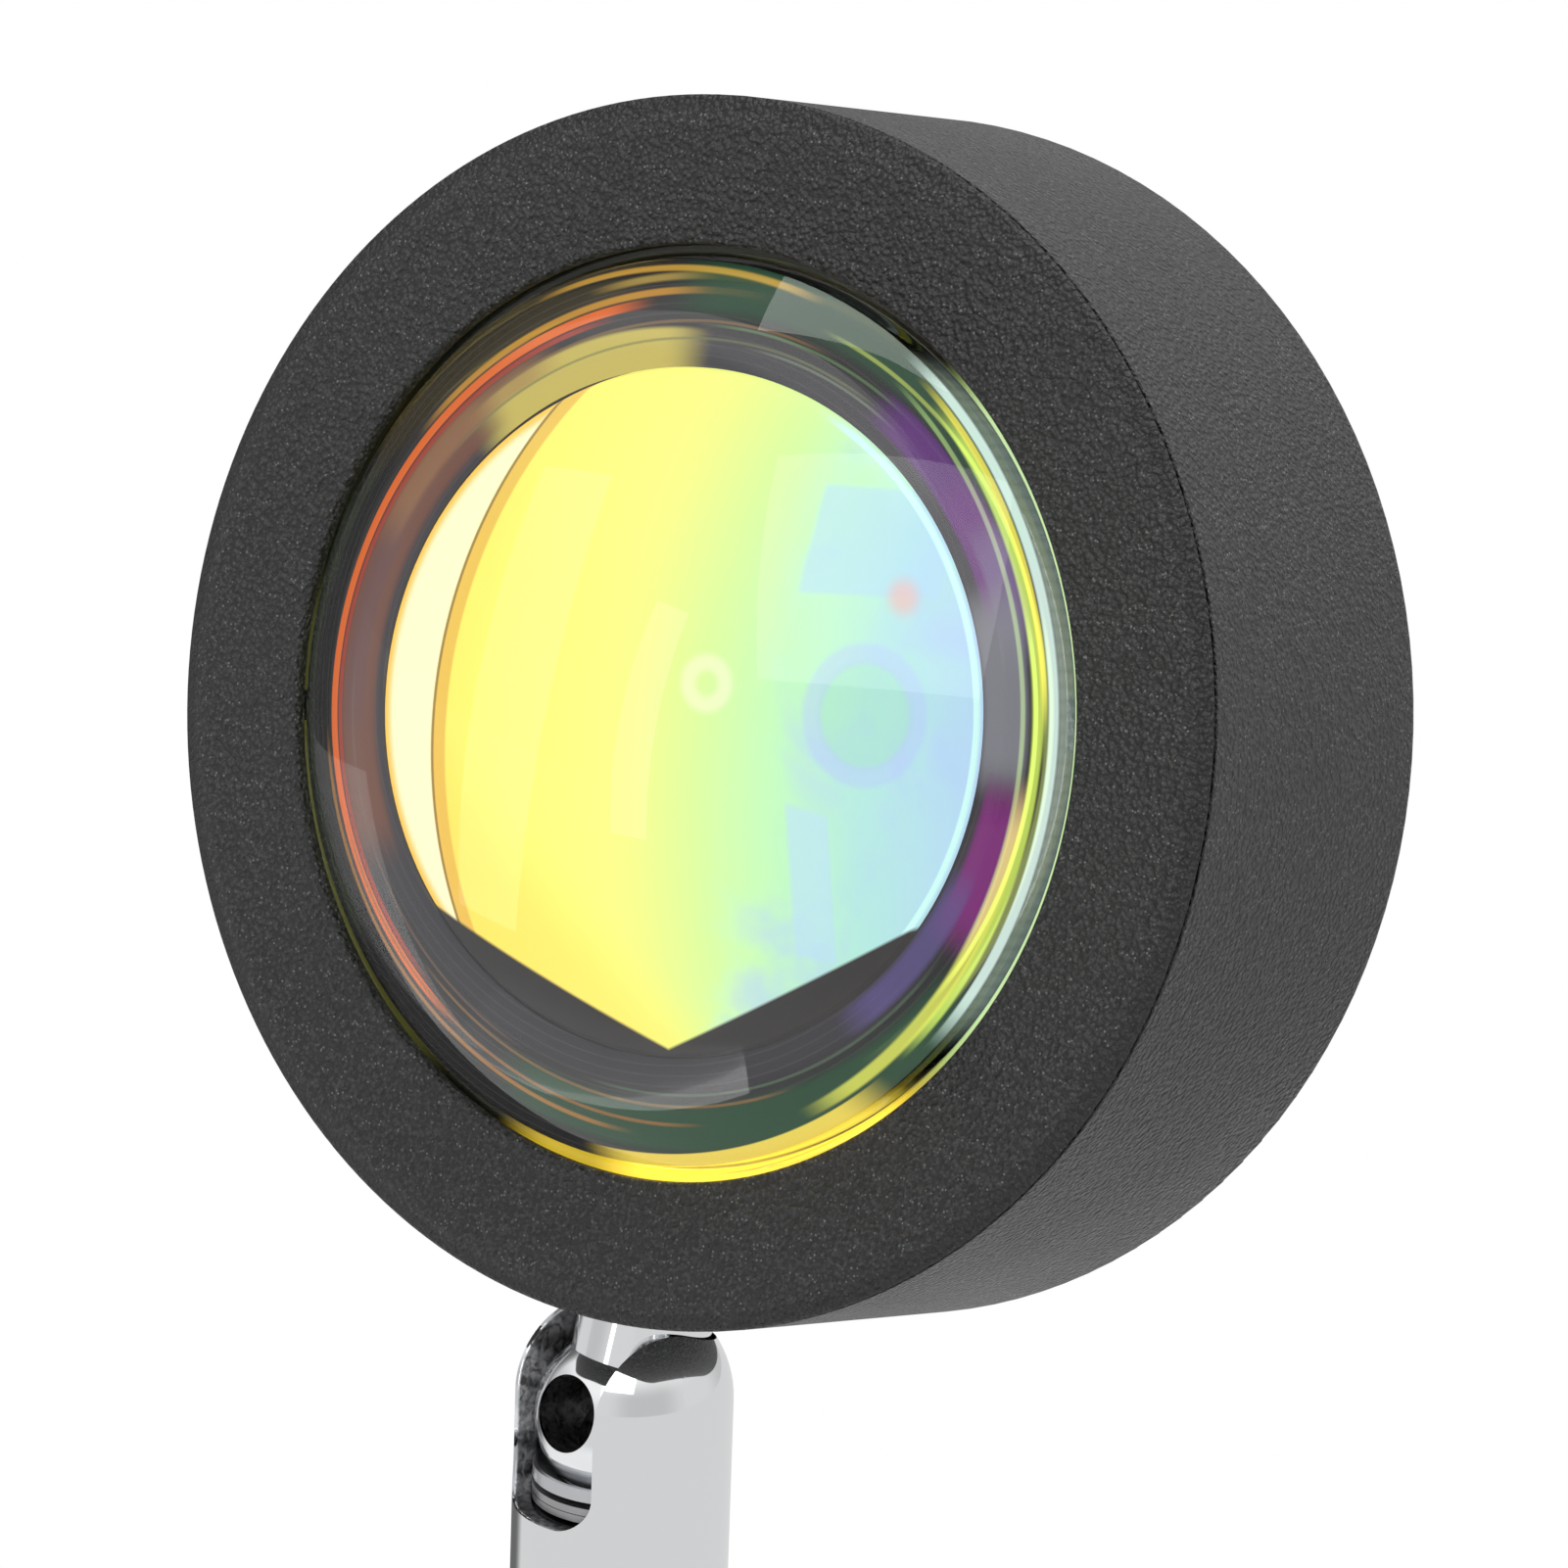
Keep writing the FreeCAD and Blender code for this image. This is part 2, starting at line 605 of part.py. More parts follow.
def lens():
    """Thick plano-convex lens with a thin seating flange."""
    body = domed_disc(LENS_R, LENS_RIM, LENS_SAG, LENS_REAR)
    return body.fuse(head_disc(LENS_FLANGE_R, FLANGE_FRONT, LENS_FLANGE_T)).removeSplitter()


def lens_clip():
    """Split ring that snaps into the front ring's groove and holds the lens down."""
    outside, inside = CLIP_GROOVE_R - LOOSE_GAP, LENS_R + LOOSE_GAP
    front = FLANGE_FRONT - CLIP_T - PRESS_GAP
    ring = head_disc(outside, front, CLIP_T).cut(head_disc(inside, front - 1, CLIP_T + 2))
    gap = Part.makeBox(CLIP_GROOVE_R, CLIP_T + 2, CLIP_SPLIT, Vec(0, 0, -CLIP_SPLIT / 2))
    gap.rotate(Vec(0, 0, 0), AXIS_Y, -CLIP_SPLIT_ANGLE)
    gap.translate(Vec(0, front - 1 - STEM_DEPTH, AXIS_RISE))
    return ring.cut(gap)


def dichroic_filter():
    return head_disc(FILTER_R, FILTER_FRONT, FILTER_T)


def lens_holder():
    """Black carrier with a pocket for the lens, one for the filter, and a tapered barrel."""
    flange_r = INNER_R - PRESS_GAP - COLLAR_T - POCKET_GAP
    pocket_r = LENS_FLANGE_R + POCKET_GAP
    filter_r = FILTER_R + POCKET_GAP
    filter_end = FILTER_FRONT + FILTER_T + PRESS_GAP
    front = FACE_T + LOOSE_GAP
    outer_r = pocket_r + COLLAR_T
    end = BOARD_FRONT - PRESS_GAP
    shape = [(pocket_r, front), (flange_r, front), (flange_r, HOLDER_FLANGE_END)]
    shape += [(outer_r, HOLDER_FLANGE_END), (outer_r, filter_end + 1.2)]
    shape += [(FILTER_VIEW_R + 2.5, filter_end + 1.7), (BARREL_R + BARREL_T, BARREL_START + 1)]
    shape += [(BARREL_R + BARREL_T, end), (BARREL_R, end), (BARREL_R, BARREL_START)]
    shape += [(FILTER_VIEW_R, filter_end), (filter_r, filter_end), (filter_r, LENS_REAR)]
    shape += [(pocket_r, LENS_REAR)]
    return head_turned(shape)


def rear_screws():
    seat = rear_screw_seat()
    length = seat - SINK_FRONT - 0.5
    screw = pan_screw(REAR_SCREW_HEAD_R, REAR_SCREW_HEAD_T, REAR_SCREW_R, length)
    places = ring_places(SCREW_COUNT, SCREW_RING)
    return Part.makeCompound([along_head(screw, seat, x, z, True) for x, z in places])


def board_screws():
    length = BOARD_T + SINK_T - 0.5
    screw = pan_screw(BOARD_SCREW_HEAD_R, BOARD_SCREW_HEAD_T, BOARD_SCREW_R, length)
    places = [(-BOARD_SCREW_RING, 0), (BOARD_SCREW_RING, 0)]
    return Part.makeCompound([along_head(screw, BOARD_FRONT, x, z, False) for x, z in places])


def heat_sink():
    plate = head_disc(SINK_R, SINK_FRONT, SINK_T)
    for across, up in ring_places(SCREW_COUNT, SCREW_RING):
        start = SINK_FRONT + SINK_T
        plate = plate.fuse(head_disc(SINK_POST_R, start, REAR_INSIDE - start, across, up))
    for across, up in ring_places(SCREW_COUNT, SCREW_RING):
        hole = head_disc(REAR_SCREW_R, SINK_FRONT - 1, HEAD_DEPTH, across, up)
        plate = plate.cut(hole)
    for across in (-BOARD_SCREW_RING, BOARD_SCREW_RING):
        plate = plate.cut(head_disc(BOARD_SCREW_R, SINK_FRONT - 1, SINK_T + 2, across))
    return plate.removeSplitter()


def led_board():
    board = head_disc(BOARD_R, BOARD_FRONT, BOARD_T)
    for across in (-BOARD_SCREW_RING, BOARD_SCREW_RING):
        board = board.cut(head_disc(BOARD_SCREW_R, BOARD_FRONT - 1, BOARD_T + 2, across))
    return board


def led_package():
    side = PACKAGE_SIDE
    package = Part.makeBox(side, PACKAGE_T, side)
    package.translate(Vec(-side / 2, BOARD_FRONT - PACKAGE_T - STEM_DEPTH, AXIS_RISE - side / 2))
    return package


def led_emitter():
    return head_disc(EMITTER_R, BOARD_FRONT - PACKAGE_T - EMITTER_T, EMITTER_T)


def led_cap():
    """Clear domed cap over the emitter, standing on the board."""
    body = domed_disc(CAP_R, CAP_FRONT, CAP_DOME, BOARD_FRONT)
    return body.cut(head_disc(CAP_BORE, CAP_BORE_END, BOARD_FRONT - CAP_BORE_END + 1))


def head_leads():
    """Leads from the board, down past the barrel and into the stem's bore."""
    pad_up = AXIS_RISE - (BOARD_SCREW_RING - 0.8)
    board_y = BOARD_FRONT - STEM_DEPTH - LEAD_R
    bend_z = AXIS_RISE - LEAD_BEND_DROP
    tubes = []
    for side in (-1, 1):
        x = side * LEAD_SPREAD
        points = [(x, 0, LEAD_START), (x, 0, bend_z), (x, board_y, bend_z + 6)]
        points.append((x, board_y, pad_up))
        tubes.append(routed_tube(points, LEAD_R, 2.0))
    return Part.makeCompound(tubes)


# ---- all nodes --------------------------------------------------------------------
STAND = [
    foot_pad, base_disc, cord_grommet, base_washer, base_nut, foot_plug, pole,
    pivot_spigot, pole_leads, splice_sleeves,
]
SWIVEL = [swivel_body, pressure_washer, disc_springs, clamp_screw, set_screw]
STEM = [ball_stem, stem_washer, stem_nut]
HEAD = [
    head_shell, front_ring, lens, lens_clip, dichroic_filter, lens_holder, rear_screws,
    board_screws, heat_sink, led_board, led_package, led_emitter, led_cap, head_leads,
]


def main():
    os.makedirs("parts", exist_ok=True)
    groups = [(STAND, lambda s: s), (SWIVEL, in_swivel), (STEM, on_stem), (HEAD, on_head)]
    for makers, placed in groups:
        for make in makers:
            shape = placed(make())
            shape.exportStep(os.path.join("parts", make.__name__ + ".step"))
            print(make.__name__, len(shape.Solids), round(shape.Volume, 1), shape.isValid())


main()
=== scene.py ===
"""Dresses the sunset projection lamp: turned glass, coated metal and a white studio."""

import math

import bmesh
import bpy
from mathutils import Matrix, Vector


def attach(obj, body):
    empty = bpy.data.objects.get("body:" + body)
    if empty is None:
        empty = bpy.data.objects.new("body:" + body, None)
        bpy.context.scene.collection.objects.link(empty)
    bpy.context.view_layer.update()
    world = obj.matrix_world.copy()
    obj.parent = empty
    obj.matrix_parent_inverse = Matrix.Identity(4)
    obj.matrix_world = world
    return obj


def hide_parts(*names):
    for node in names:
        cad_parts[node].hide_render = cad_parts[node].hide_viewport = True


bl_info = {
    "name": "Sunset Projection Lamp",
    "version": (1, 0, 0),
    "blender": (4, 5, 0),
    "location": "View3D > Sidebar > Lamp",
    "description": "Turned glass, coated metal and a studio for a projection lamp",
    "category": "Object",
}

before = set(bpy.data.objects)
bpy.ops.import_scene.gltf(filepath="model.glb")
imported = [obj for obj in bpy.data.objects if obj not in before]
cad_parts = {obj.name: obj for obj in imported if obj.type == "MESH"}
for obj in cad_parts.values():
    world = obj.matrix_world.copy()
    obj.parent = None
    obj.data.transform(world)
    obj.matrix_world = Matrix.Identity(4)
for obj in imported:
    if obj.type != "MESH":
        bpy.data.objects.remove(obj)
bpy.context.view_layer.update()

MM = 0.001
BALL_HEIGHT = 161.0
BALL = Vector((0.0, 0.0, BALL_HEIGHT))
SEAM_DROP = 24.0
DOME_START = 1.3
TUBE_R = 7.29
BALL_R = 5.95
SWIVEL_TURN = math.radians(-20.5)
STEM_LEAN = math.radians(13.6)
AXIS_RISE = 48.3
STEM_DEPTH = 13.3
LENS_RIM = -0.2             # depth at which the dome starts
CLIP_SPLIT = 2.0            # gap in the split ring
CLIP_MIDDLE_R = 30.2
CLIP_SPLIT_ANGLE = 194.4    # of the gap round the head's axis, in degrees
PARTING_DEPTH = 1.13        # of the line between front ring and shell

# Turn round the lamp, height and roll of the camera in degrees, and its place to the right
# of, above and in front of the ball's middle as it sees them
CAMERA_ANGLES = (34.31, 16.659, 1.996)
CAMERA_PLACE = (10.677, 41.918, 606.136)


def head_matrix():
    """Turned piece, axis +Z as depth from the front face in mm, to the lamp in metres."""
    spin = math.atan(-math.cos(STEM_LEAN) * math.tan(SWIVEL_TURN))
    lay = Matrix(((1, 0, 0, 0), (0, 0, 1, -STEM_DEPTH), (0, -1, 0, AXIS_RISE), (0, 0, 0, 1)))
    turn = Matrix.Rotation(SWIVEL_TURN, 4, "Z") @ Matrix.Rotation(-STEM_LEAN, 4, "X")
    place = Matrix.Translation(BALL) @ turn @ Matrix.Rotation(spin, 4, "Z")
    return Matrix.Scale(MM, 4) @ place @ lay


HEAD = head_matrix()


# ---- settings ---------------------------------------------------------------------
def colour_property(name, description, default):
    return bpy.props.FloatVectorProperty(
        name=name, description=description, default=default, size=4,
        subtype="COLOR", min=0.0, max=1.0,
    )


def length_property(name, description, default):
    return bpy.props.FloatProperty(
        name=name, description=description, default=default, unit="LENGTH", min=0.0,
    )


def power_property(name, description, default):
    return bpy.props.FloatProperty(
        name=name, description=description, default=default, unit="POWER", min=0.0,
    )


class LampSizes(bpy.types.PropertyGroup):
    turn_steps: bpy.props.IntProperty(
        name="Turning steps", description="Steps round each turned piece",
        default=192, min=48, max=512,
    )
    lens_radius: length_property("Lens radius", "Radius of the glass at its rim", 29.3 * MM)
    lens_rise: length_property("Lens rise", "Height of the dome above its rim", 12.0 * MM)
    filter_radius: length_property("Filter radius", "Radius of the coated disc", 19.6 * MM)
    grain_size: length_property("Grain size", "Size of the coating's grain", 0.36 * MM)


class LampColours(bpy.types.PropertyGroup):
    head_coat: colour_property(
        "Head coat", "Grained coating of the head", (0.033, 0.033, 0.034, 1.0)
    )
    base_coat: colour_property(
        "Base coat", "Fine coating of the base", (0.022, 0.022, 0.023, 1.0)
    )
    chrome: colour_property("Chrome", "Plating of pole and swivel", (0.86, 0.87, 0.88, 1.0))
    floor: colour_property("Floor", "Studio floor", (0.86, 0.86, 0.86, 1.0))


class StudioSettings(bpy.types.PropertyGroup):
    front_power: power_property("Front light", "Power of the soft light in front and above", 2.6)
    strip_power: power_property(
        "Strip light", "Power of the narrow light in front, to the left", 0.6
    )
    top_power: power_property("Top light", "Power of the light overhead", 5.0)
    ambient: bpy.props.FloatProperty(
        name="Surroundings", description="Brightness of the room on matt surfaces",
        default=0.55, min=0.0,
    )
    focal_length: bpy.props.FloatProperty(
        name="Focal length", description="Of the studio camera, in millimetres",
        default=209.09, min=10.0,
    )


# ---- colours ----------------------------------------------------------------------
def linear(value):
    """Linear light of one value as it looks on a screen, 0 to 1."""
    return value / 12.92 if value < 0.04045 else ((value + 0.055) / 1.055) ** 2.4


def screen_colour(red, green, blue):
    """Linear colour from red, green and blue as they look on a screen, 0 to 1."""
    return (linear(red), linear(green), linear(blue), 1.0)


def shade(colour, factor):
    """The colour, lighter or darker by a factor."""
    return [channel * factor for channel in colour[:3]] + [1.0]


def grey(level):
    return (level, level, level, 1.0)


# ---- node helpers -----------------------------------------------------------------
def feed(tree, socket, value):
    """Links an input to another node's output, or sets it to a plain value."""
    if isinstance(value, bpy.types.NodeSocket):
        tree.links.new(value, socket)
    else:
        socket.default_value = value


def set_inputs(tree, node, **inputs):
    """Feeds a node's inputs by name, with _ for spaces."""
    for key, value in inputs.items():
        feed(tree, node.inputs[key.replace("_", " ")], value)


def add_node(tree, kind, settings=None, **inputs):
    made = tree.nodes.new(kind)
    for key, value in (settings or {}).items():
        setattr(made, key, value)
    set_inputs(tree, made, **inputs)
    return made


def math_node(tree, operation, *values):
    made = add_node(tree, "ShaderNodeMath", {"operation": operation})
    for socket, value in zip(made.inputs, values):
        feed(tree, socket, value)
    return made.outputs[0]


def times(tree, first, *others):
    """Product of sockets and numbers."""
    for value in others:
        first = math_node(tree, "MULTIPLY", first, value)
    return first


def plus(tree, first, *others):
    """Sum of sockets and numbers."""
    for value in others:
        first = math_node(tree, "ADD", first, value)
    return first


def vector_node(tree, operation, vector, fixed=None):
    """Vector math on a socket and, where the operation takes two, a fixed vector."""
    made = add_node(tree, "ShaderNodeVectorMath", {"operation": operation})
    feed(tree, made.inputs[0], vector)
    if fixed is not None:
        feed(tree, made.inputs[1], fixed)
    return made.outputs


def mix_node(tree, factor, first, second):
    made = add_node(tree, "ShaderNodeMix", {"data_type": "RGBA", "blend_type": "MIX"})
    for index, value in ((0, factor), (6, first), (7, second)):
        feed(tree, made.inputs[index], value)
    return made.outputs[2]


def paint(tree, colour, mask, tint, strength=1.0):
    """Lays a tint, as it looks on a screen, over a colour where the mask is 1."""
    if strength != 1.0:
        mask = times(tree, mask, strength)
    return mix_node(tree, mask, colour, screen_colour(*tint))


def range_node(tree, value, low, high, to_low=0.0, to_high=1.0, smooth=False):
    made = add_node(
        tree, "ShaderNodeMapRange",
        {"interpolation_type": "SMOOTHSTEP" if smooth else "LINEAR", "clamp": True},
        Value=value, From_Min=low, From_Max=high, To_Min=to_low, To_Max=to_high,
    )
    return made.outputs["Result"]


def ramp_node(tree, value, stops):
    """Colour ramp from (position, colour) stops, the colours as they look on a screen."""
    made = add_node(tree, "ShaderNodeValToRGB", Fac=value)
    elements = made.color_ramp.elements
    while len(elements) < len(stops):
        elements.new(0.5)
    for element, (position, colour) in zip(elements, stops):
        element.position = position
        element.color = screen_colour(*colour)
    return made.outputs["Color"]


def noise_node(tree, point, scale, detail, distortion=0.0):
    made = add_node(
        tree, "ShaderNodeTexNoise", Vector=point, Scale=scale, Detail=detail,
        Distortion=distortion,
    )
    return made.outputs["Fac"]


def object_point(tree):
    return tree.nodes.new("ShaderNodeTexCoord").outputs["Object"]


def new_group(name, inputs, outputs):
    """Shader node group of numbers: defaults by input name, then the outputs' names."""
    tree = bpy.data.node_groups.new(name, "ShaderNodeTree")
    for label, default in inputs.items():
        socket = tree.interface.new_socket(label, in_out="INPUT", socket_type="NodeSocketFloat")
        socket.default_value = default
    for label in outputs:
        tree.interface.new_socket(label, in_out="OUTPUT", socket_type="NodeSocketFloat")
    return tree, tree.nodes.new("NodeGroupInput"), tree.nodes.new("NodeGroupOutput")


def use_group(tree, group, **inputs):
    made = tree.nodes.new("ShaderNodeGroup")
    made.node_tree = bpy.data.node_groups[group]
    set_inputs(tree, made, **inputs)
    return made.outputs


# ---- shared effects ---------------------------------------------------------------
def make_grain_group():
    """Leathery powder-coat grain. Height is in grain sizes, Pits is low in the valleys, which the
    powder coat darkens as painted shade, and Glint marks the few grains that it brightens as
    painted glints."""
    tree, given, out = new_group("coat_grain", {"Size": 0.0005}, ("Height", "Pits", "Glint"))
    point = object_point(tree)
    scale = math_node(tree, "DIVIDE", 1.0, given.outputs["Size"])
    warp = noise_node(tree, point, scale, 2.0)
    cells = add_node(
        tree, "ShaderNodeTexVoronoi", {"feature": "SMOOTH_F1"}, Vector=point, Scale=scale,
        Smoothness=0.35, Randomness=1.0,
    )
    rounded = math_node(tree, "SUBTRACT", 1.0, cells.outputs["Distance"])
    fine = noise_node(tree, point, times(tree, scale, 2.6), 3.0)
    height = plus(tree, rounded, warp, times(tree, fine, 0.45))
    facets = add_node(tree, "ShaderNodeTexVoronoi", Vector=point, Scale=times(tree, scale, 1.3))
    chosen = range_node(tree, facets.outputs["Color"], 0.60, 0.75)
    spot = range_node(tree, facets.outputs["Distance"], 0.16, 0.34, 1.0, 0.0)
    set_inputs(
        tree, out, Height=height, Pits=range_node(tree, height, 1.15, 1.75),
        Glint=times(tree, spot, chosen),
    )


def make_marks_group():
    """Handling marks: Smudge is wide and soft, Scratch is fine, Speck is dust."""
    tree, given, out = new_group("handling_marks", {"Size": 0.02}, ("Smudge", "Scratch", "Speck"))
    point = object_point(tree)
    scale = math_node(tree, "DIVIDE", 1.0, given.outputs["Size"])
    wide = noise_node(tree, point, scale, 4.0, 0.6)
    stretch = add_node(
        tree, "ShaderNodeMapping", Vector=point, Rotation=(0.3, 0.7, 0.2),
        Scale=(90.0, 1500.0, 90.0),
    )
    lines = noise_node(tree, stretch.outputs[0], 1.0, 1.0)
    dots = add_node(
        tree, "ShaderNodeTexVoronoi", Vector=point, Scale=times(tree, scale, 12.0),
        Randomness=1.0,
    )
    small = range_node(tree, dots.outputs["Distance"], 0.05, 0.09, 1.0, 0.0)
    rare = range_node(tree, wide, 0.66, 0.68)
    set_inputs(
        tree, out, Smudge=range_node(tree, wide, 0.4, 0.65),
        Scratch=range_node(tree, lines, 0.69, 0.74), Speck=times(tree, small, rare),
    )


def make_place_group():
    """Place on the head's front in mm: Across to the right, Up, Depth back, Ring from the
    axis. Right and High are the direction round the axis, -1 to 1."""
    names = ("Across", "Up", "Depth", "Ring", "Right", "High")
    tree, _given, out = new_group("head_place", {}, names)
    to_head = HEAD.inverted()
    point = object_point(tree)
    values = []
    for row, sign in ((0, 1.0), (1, -1.0), (2, 1.0)):
        along = vector_node(tree, "DOT_PRODUCT", point, Vector(to_head[row][:3]) * sign)
        values.append(plus(tree, along["Value"], to_head[row][3] * sign))
    across, up, depth = values
    square = plus(tree, times(tree, across, across), times(tree, up, up))
    ring = math_node(tree, "SQRT", square)
    set_inputs(
        tree, out, Across=across, Up=up, Depth=depth, Ring=ring,
        Right=math_node(tree, "DIVIDE", across, ring), High=math_node(tree, "DIVIDE", up, ring),
    )


def distance_from(tree, place, across, up):
    """Distance in mm from one point on the head's front."""
    first = math_node(tree, "SUBTRACT", place["Across"], across)
    second = math_node(tree, "SUBTRACT", place["Up"], up)
    square = plus(tree, times(tree, first, first), times(tree, second, second))
    return math_node(tree, "SQRT", square)


def band_node(tree, value, centre, half, soft):
    """1 within half of centre, fading to 0 over soft."""
    off = math_node(tree, "ABSOLUTE", math_node(tree, "SUBTRACT", value, centre))
    return range_node(tree, off, half, half + soft, 1.0, 0.0, True)


def towards(tree, place, angle, spread, fade=10.0):
    """1 round the head's axis within spread degrees of an angle, fading to 0 over fade. The
    angle runs counterclockwise from the right."""
    turn = math.radians(angle)
    sideways = times(tree, place["Right"], math.cos(turn))
    along = plus(tree, sideways, times(tree, place["High"], math.sin(turn)))
    near, far = math.cos(math.radians(spread)), math.cos(math.radians(spread + fade))
    return range_node(tree, along, far, near, 0.0, 1.0, True)


def paint_glints(tree, place, colour, glints):
    """Lays curved glints over a colour. Each is the angle it faces and half its sweep in
    degrees, its radius, half its width and its fade in mm, its strength and its colour."""
    for angle, spread, radius, half, soft, strength, tint in glints:
        mask = band_node(tree, place["Ring"], radius, half, soft)
        mask = times(tree, mask, towards(tree, place, angle, spread), strength)
        colour = paint(tree, colour, mask, tint)
    return colour


# ---- materials --------------------------------------------------------------------
def new_material(name):
    material = bpy.data.materials.new(name)
    material.use_nodes = True
    tree = material.node_tree
    return material, tree, tree.nodes["Principled BSDF"]


def bump(tree, shader, height, distance):
    made = add_node(tree, "ShaderNodeBump", Height=height, Distance=distance, Strength=1.0)
    tree.links.new(made.outputs["Normal"], shader.inputs["Normal"])


def paint_parting_shade(tree, base, depth):
    """Painted shade on the sloped edge in front of the head's parting line, and in the line
    itself.
    """
    place = use_group(tree, "head_place")
    # Painted shade on the sloped edge
    edge = band_node(tree, place["Depth"], depth - 0.42, 0.34, 0.16)
    edge = times(tree, edge, range_node(tree, place["Ring"], 38.3, 38.7), 0.7)
    base = mix_node(tree, edge, base, grey(0.008))
    # Painted shade in the parting line
    line = band_node(tree, place["Depth"], depth, 0.11, 0.08)
    line = times(tree, line, range_node(tree, place["Ring"], 39.2, 39.5))
    return mix_node(tree, line, base, grey(0.002))


def coat_material(name, colour, size, roughness, depth, parting=None):
    """Grained powder coat with painted shade in its pits, painted light on its crowns, painted
    glints on a few grains and faint handling marks, and painted shade at the head's parting line
    where its depth is given in mm."""
    _material, tree, shader = new_material(name)
    grain = use_group(tree, "coat_grain", Size=size)
    marks = use_group(tree, "handling_marks", Size=0.03)
    # Painted shade in the valleys of the grain and painted light on its crowns
    base = mix_node(tree, grain["Pits"], shade(colour, 0.38), shade(colour, 1.8))
    # Painted glints: a few grains made bright
    base = mix_node(tree, times(tree, grain["Glint"], 0.7), base, shade(colour, 8.0))
    base = mix_node(tree, marks["Speck"], base, (0.35, 0.35, 0.34, 1.0))
    if parting is not None:
        base = paint_parting_shade(tree, base, parting)
    rough = plus(tree, times(tree, marks["Smudge"], 0.07), roughness)
    set_inputs(tree, shader, Base_Color=base, Roughness=rough, Specular_IOR_Level=0.5)
    bump(tree, shader, grain["Height"], depth)


def metal_material(name, colour, roughness):
    """Bare or plated metal with smudges in its gloss and hair scratches."""
    _material, tree, shader = new_material(name)
    marks = use_group(tree, "handling_marks", Size=0.012)
    rough = plus(tree, times(tree, marks["Smudge"], roughness * 0.4), roughness)
    rough = plus(tree, rough, times(tree, marks["Scratch"], 0.08))
    base = mix_node(tree, marks["Smudge"], colour, shade(colour, 0.96))
    set_inputs(tree, shader, Base_Color=base, Metallic=1.0, Roughness=rough)
    bump(tree, shader, marks["Scratch"], -0.000004)


def sawn_chrome_material(name, colour, low, high, radius):
    """Chrome on a ball-ended bar, and raw sawn metal wherever its skin is cut away. The bar
    is upright from low to high, in mm, and its skin lies radius from the line between."""
    _material, tree, shader = new_material(name)
    marks = use_group(tree, "handling_marks", Size=0.012)
    point = object_point(tree)
    split = add_node(tree, "ShaderNodeSeparateXYZ", Vector=point)
    right, back, height = (times(tree, split.outputs[axis], 1.0 / MM) for axis in "XYZ")
    over = math_node(tree, "MAXIMUM", math_node(tree, "SUBTRACT", height, high), 0.0)
    under = math_node(tree, "MAXIMUM", math_node(tree, "SUBTRACT", low, height), 0.0)
    reach = add_node(tree, "ShaderNodeCombineXYZ", X=right, Y=back, Z=plus(tree, over, under))
    out = vector_node(tree, "LENGTH", reach.outputs[0])["Value"]
    cut = range_node(tree, out, radius - 0.30, radius - 0.16, 1.0, 0.0)
    coarse = noise_node(tree, point, 1900.0, 4.0, 0.6)
    patch = range_node(tree, coarse, 0.35, 0.62)
    raw = mix_node(tree, patch, grey(0.10), (0.46, 0.46, 0.47, 1.0))
    rough = plus(tree, times(tree, marks["Smudge"], 0.03), 0.05)
    rough = plus(tree, rough, times(tree, marks["Scratch"], 0.08), times(tree, cut, 0.30))
    base = mix_node(tree, cut, colour, raw)
    set_inputs(tree, shader, Base_Color=base, Metallic=1.0, Roughness=rough)
    relief = math_node(tree, "SUBTRACT", times(tree, coarse, cut, 12.0), marks["Scratch"])
    bump(tree, shader, relief, 0.000004)


def moulded_material(name, colour, roughness):
    """Moulded plastic or rubber with a fine even texture."""
    _material, tree, shader = new_material(name)
    grain = use_group(tree, "coat_grain", Size=0.0004)
    marks = use_group(tree, "handling_marks", Size=0.02)
    base = mix_node(tree, marks["Smudge"], colour, shade(colour, 0.8))
    rough = plus(tree, times(tree, grain["Pits"], 0.1), roughness)
    set_inputs(tree, shader, Base_Color=base, Roughness=rough)
    bump(tree, shader, grain["Height"], 0.000016)


def clear_material(name, tint, roughness, ior, gloss=0.5, glints=()):
    """Clear glass or plastic with faint smears, and painted glints of the coated disc at its rim,
    which glow.
    """
    _material, tree, shader = new_material(name)
    marks = use_group(tree, "handling_marks", Size=0.03)
    rough = plus(tree, times(tree, marks["Smudge"], 0.012), roughness)
    set_inputs(
        tree, shader, Base_Color=tint, Roughness=rough, IOR=ior, Transmission_Weight=1.0,
        Specular_IOR_Level=gloss,
    )
    if glints:
        # Painted glints and reflections of the coated disc, glowing on the front of the rim
        place = use_group(tree, "head_place")
        colour = paint_glints(tree, place, grey(0.0), glints)
        front = range_node(tree, place["Depth"], 1.6, 2.0, 1.0, 0.0)
        colour = mix_node(tree, front, grey(0.0), colour)
        set_inputs(tree, shader, Emission_Color=colour, Emission_Strength=0.9)


# Painted glints and reflections, made to glow, in the order that paint_glints takes them
DOME_GLINTS = (
    (18, 40, 29.05, 0.16, 0.12, 0.9, (0.86, 0.96, 0.92)),
    (12, 38, 28.30, 0.16, 0.16, 0.8, (0.82, 0.93, 0.36)),
    (22, 34, 27.60, 0.06, 0.10, 0.6, (0.66, 0.80, 0.46)),
    (-22, 20, 27.90, 0.22, 0.20, 0.7, (0.93, 0.93, 0.34)),
    (38, 16, 28.60, 0.10, 0.10, 0.8, (0.98, 0.92, 0.30)),
    (-63, 15, 28.90, 0.42, 0.10, 0.9, (0.98, 0.86, 0.30)),
    (104, 14, 28.70, 0.10, 0.20, 0.7, (0.86, 0.66, 0.20)),
)

CLIP_GLINTS = (
    (-63, 16, 30.10, 0.80, 0.10, 0.9, (1.00, 0.86, 0.28)),
    (14, 38, 30.10, 0.80, 0.10, 0.5, (0.66, 0.80, 0.74)),
    (212, 26, 30.20, 0.25, 0.15, 0.5, (0.36, 0.36, 0.16)),
)

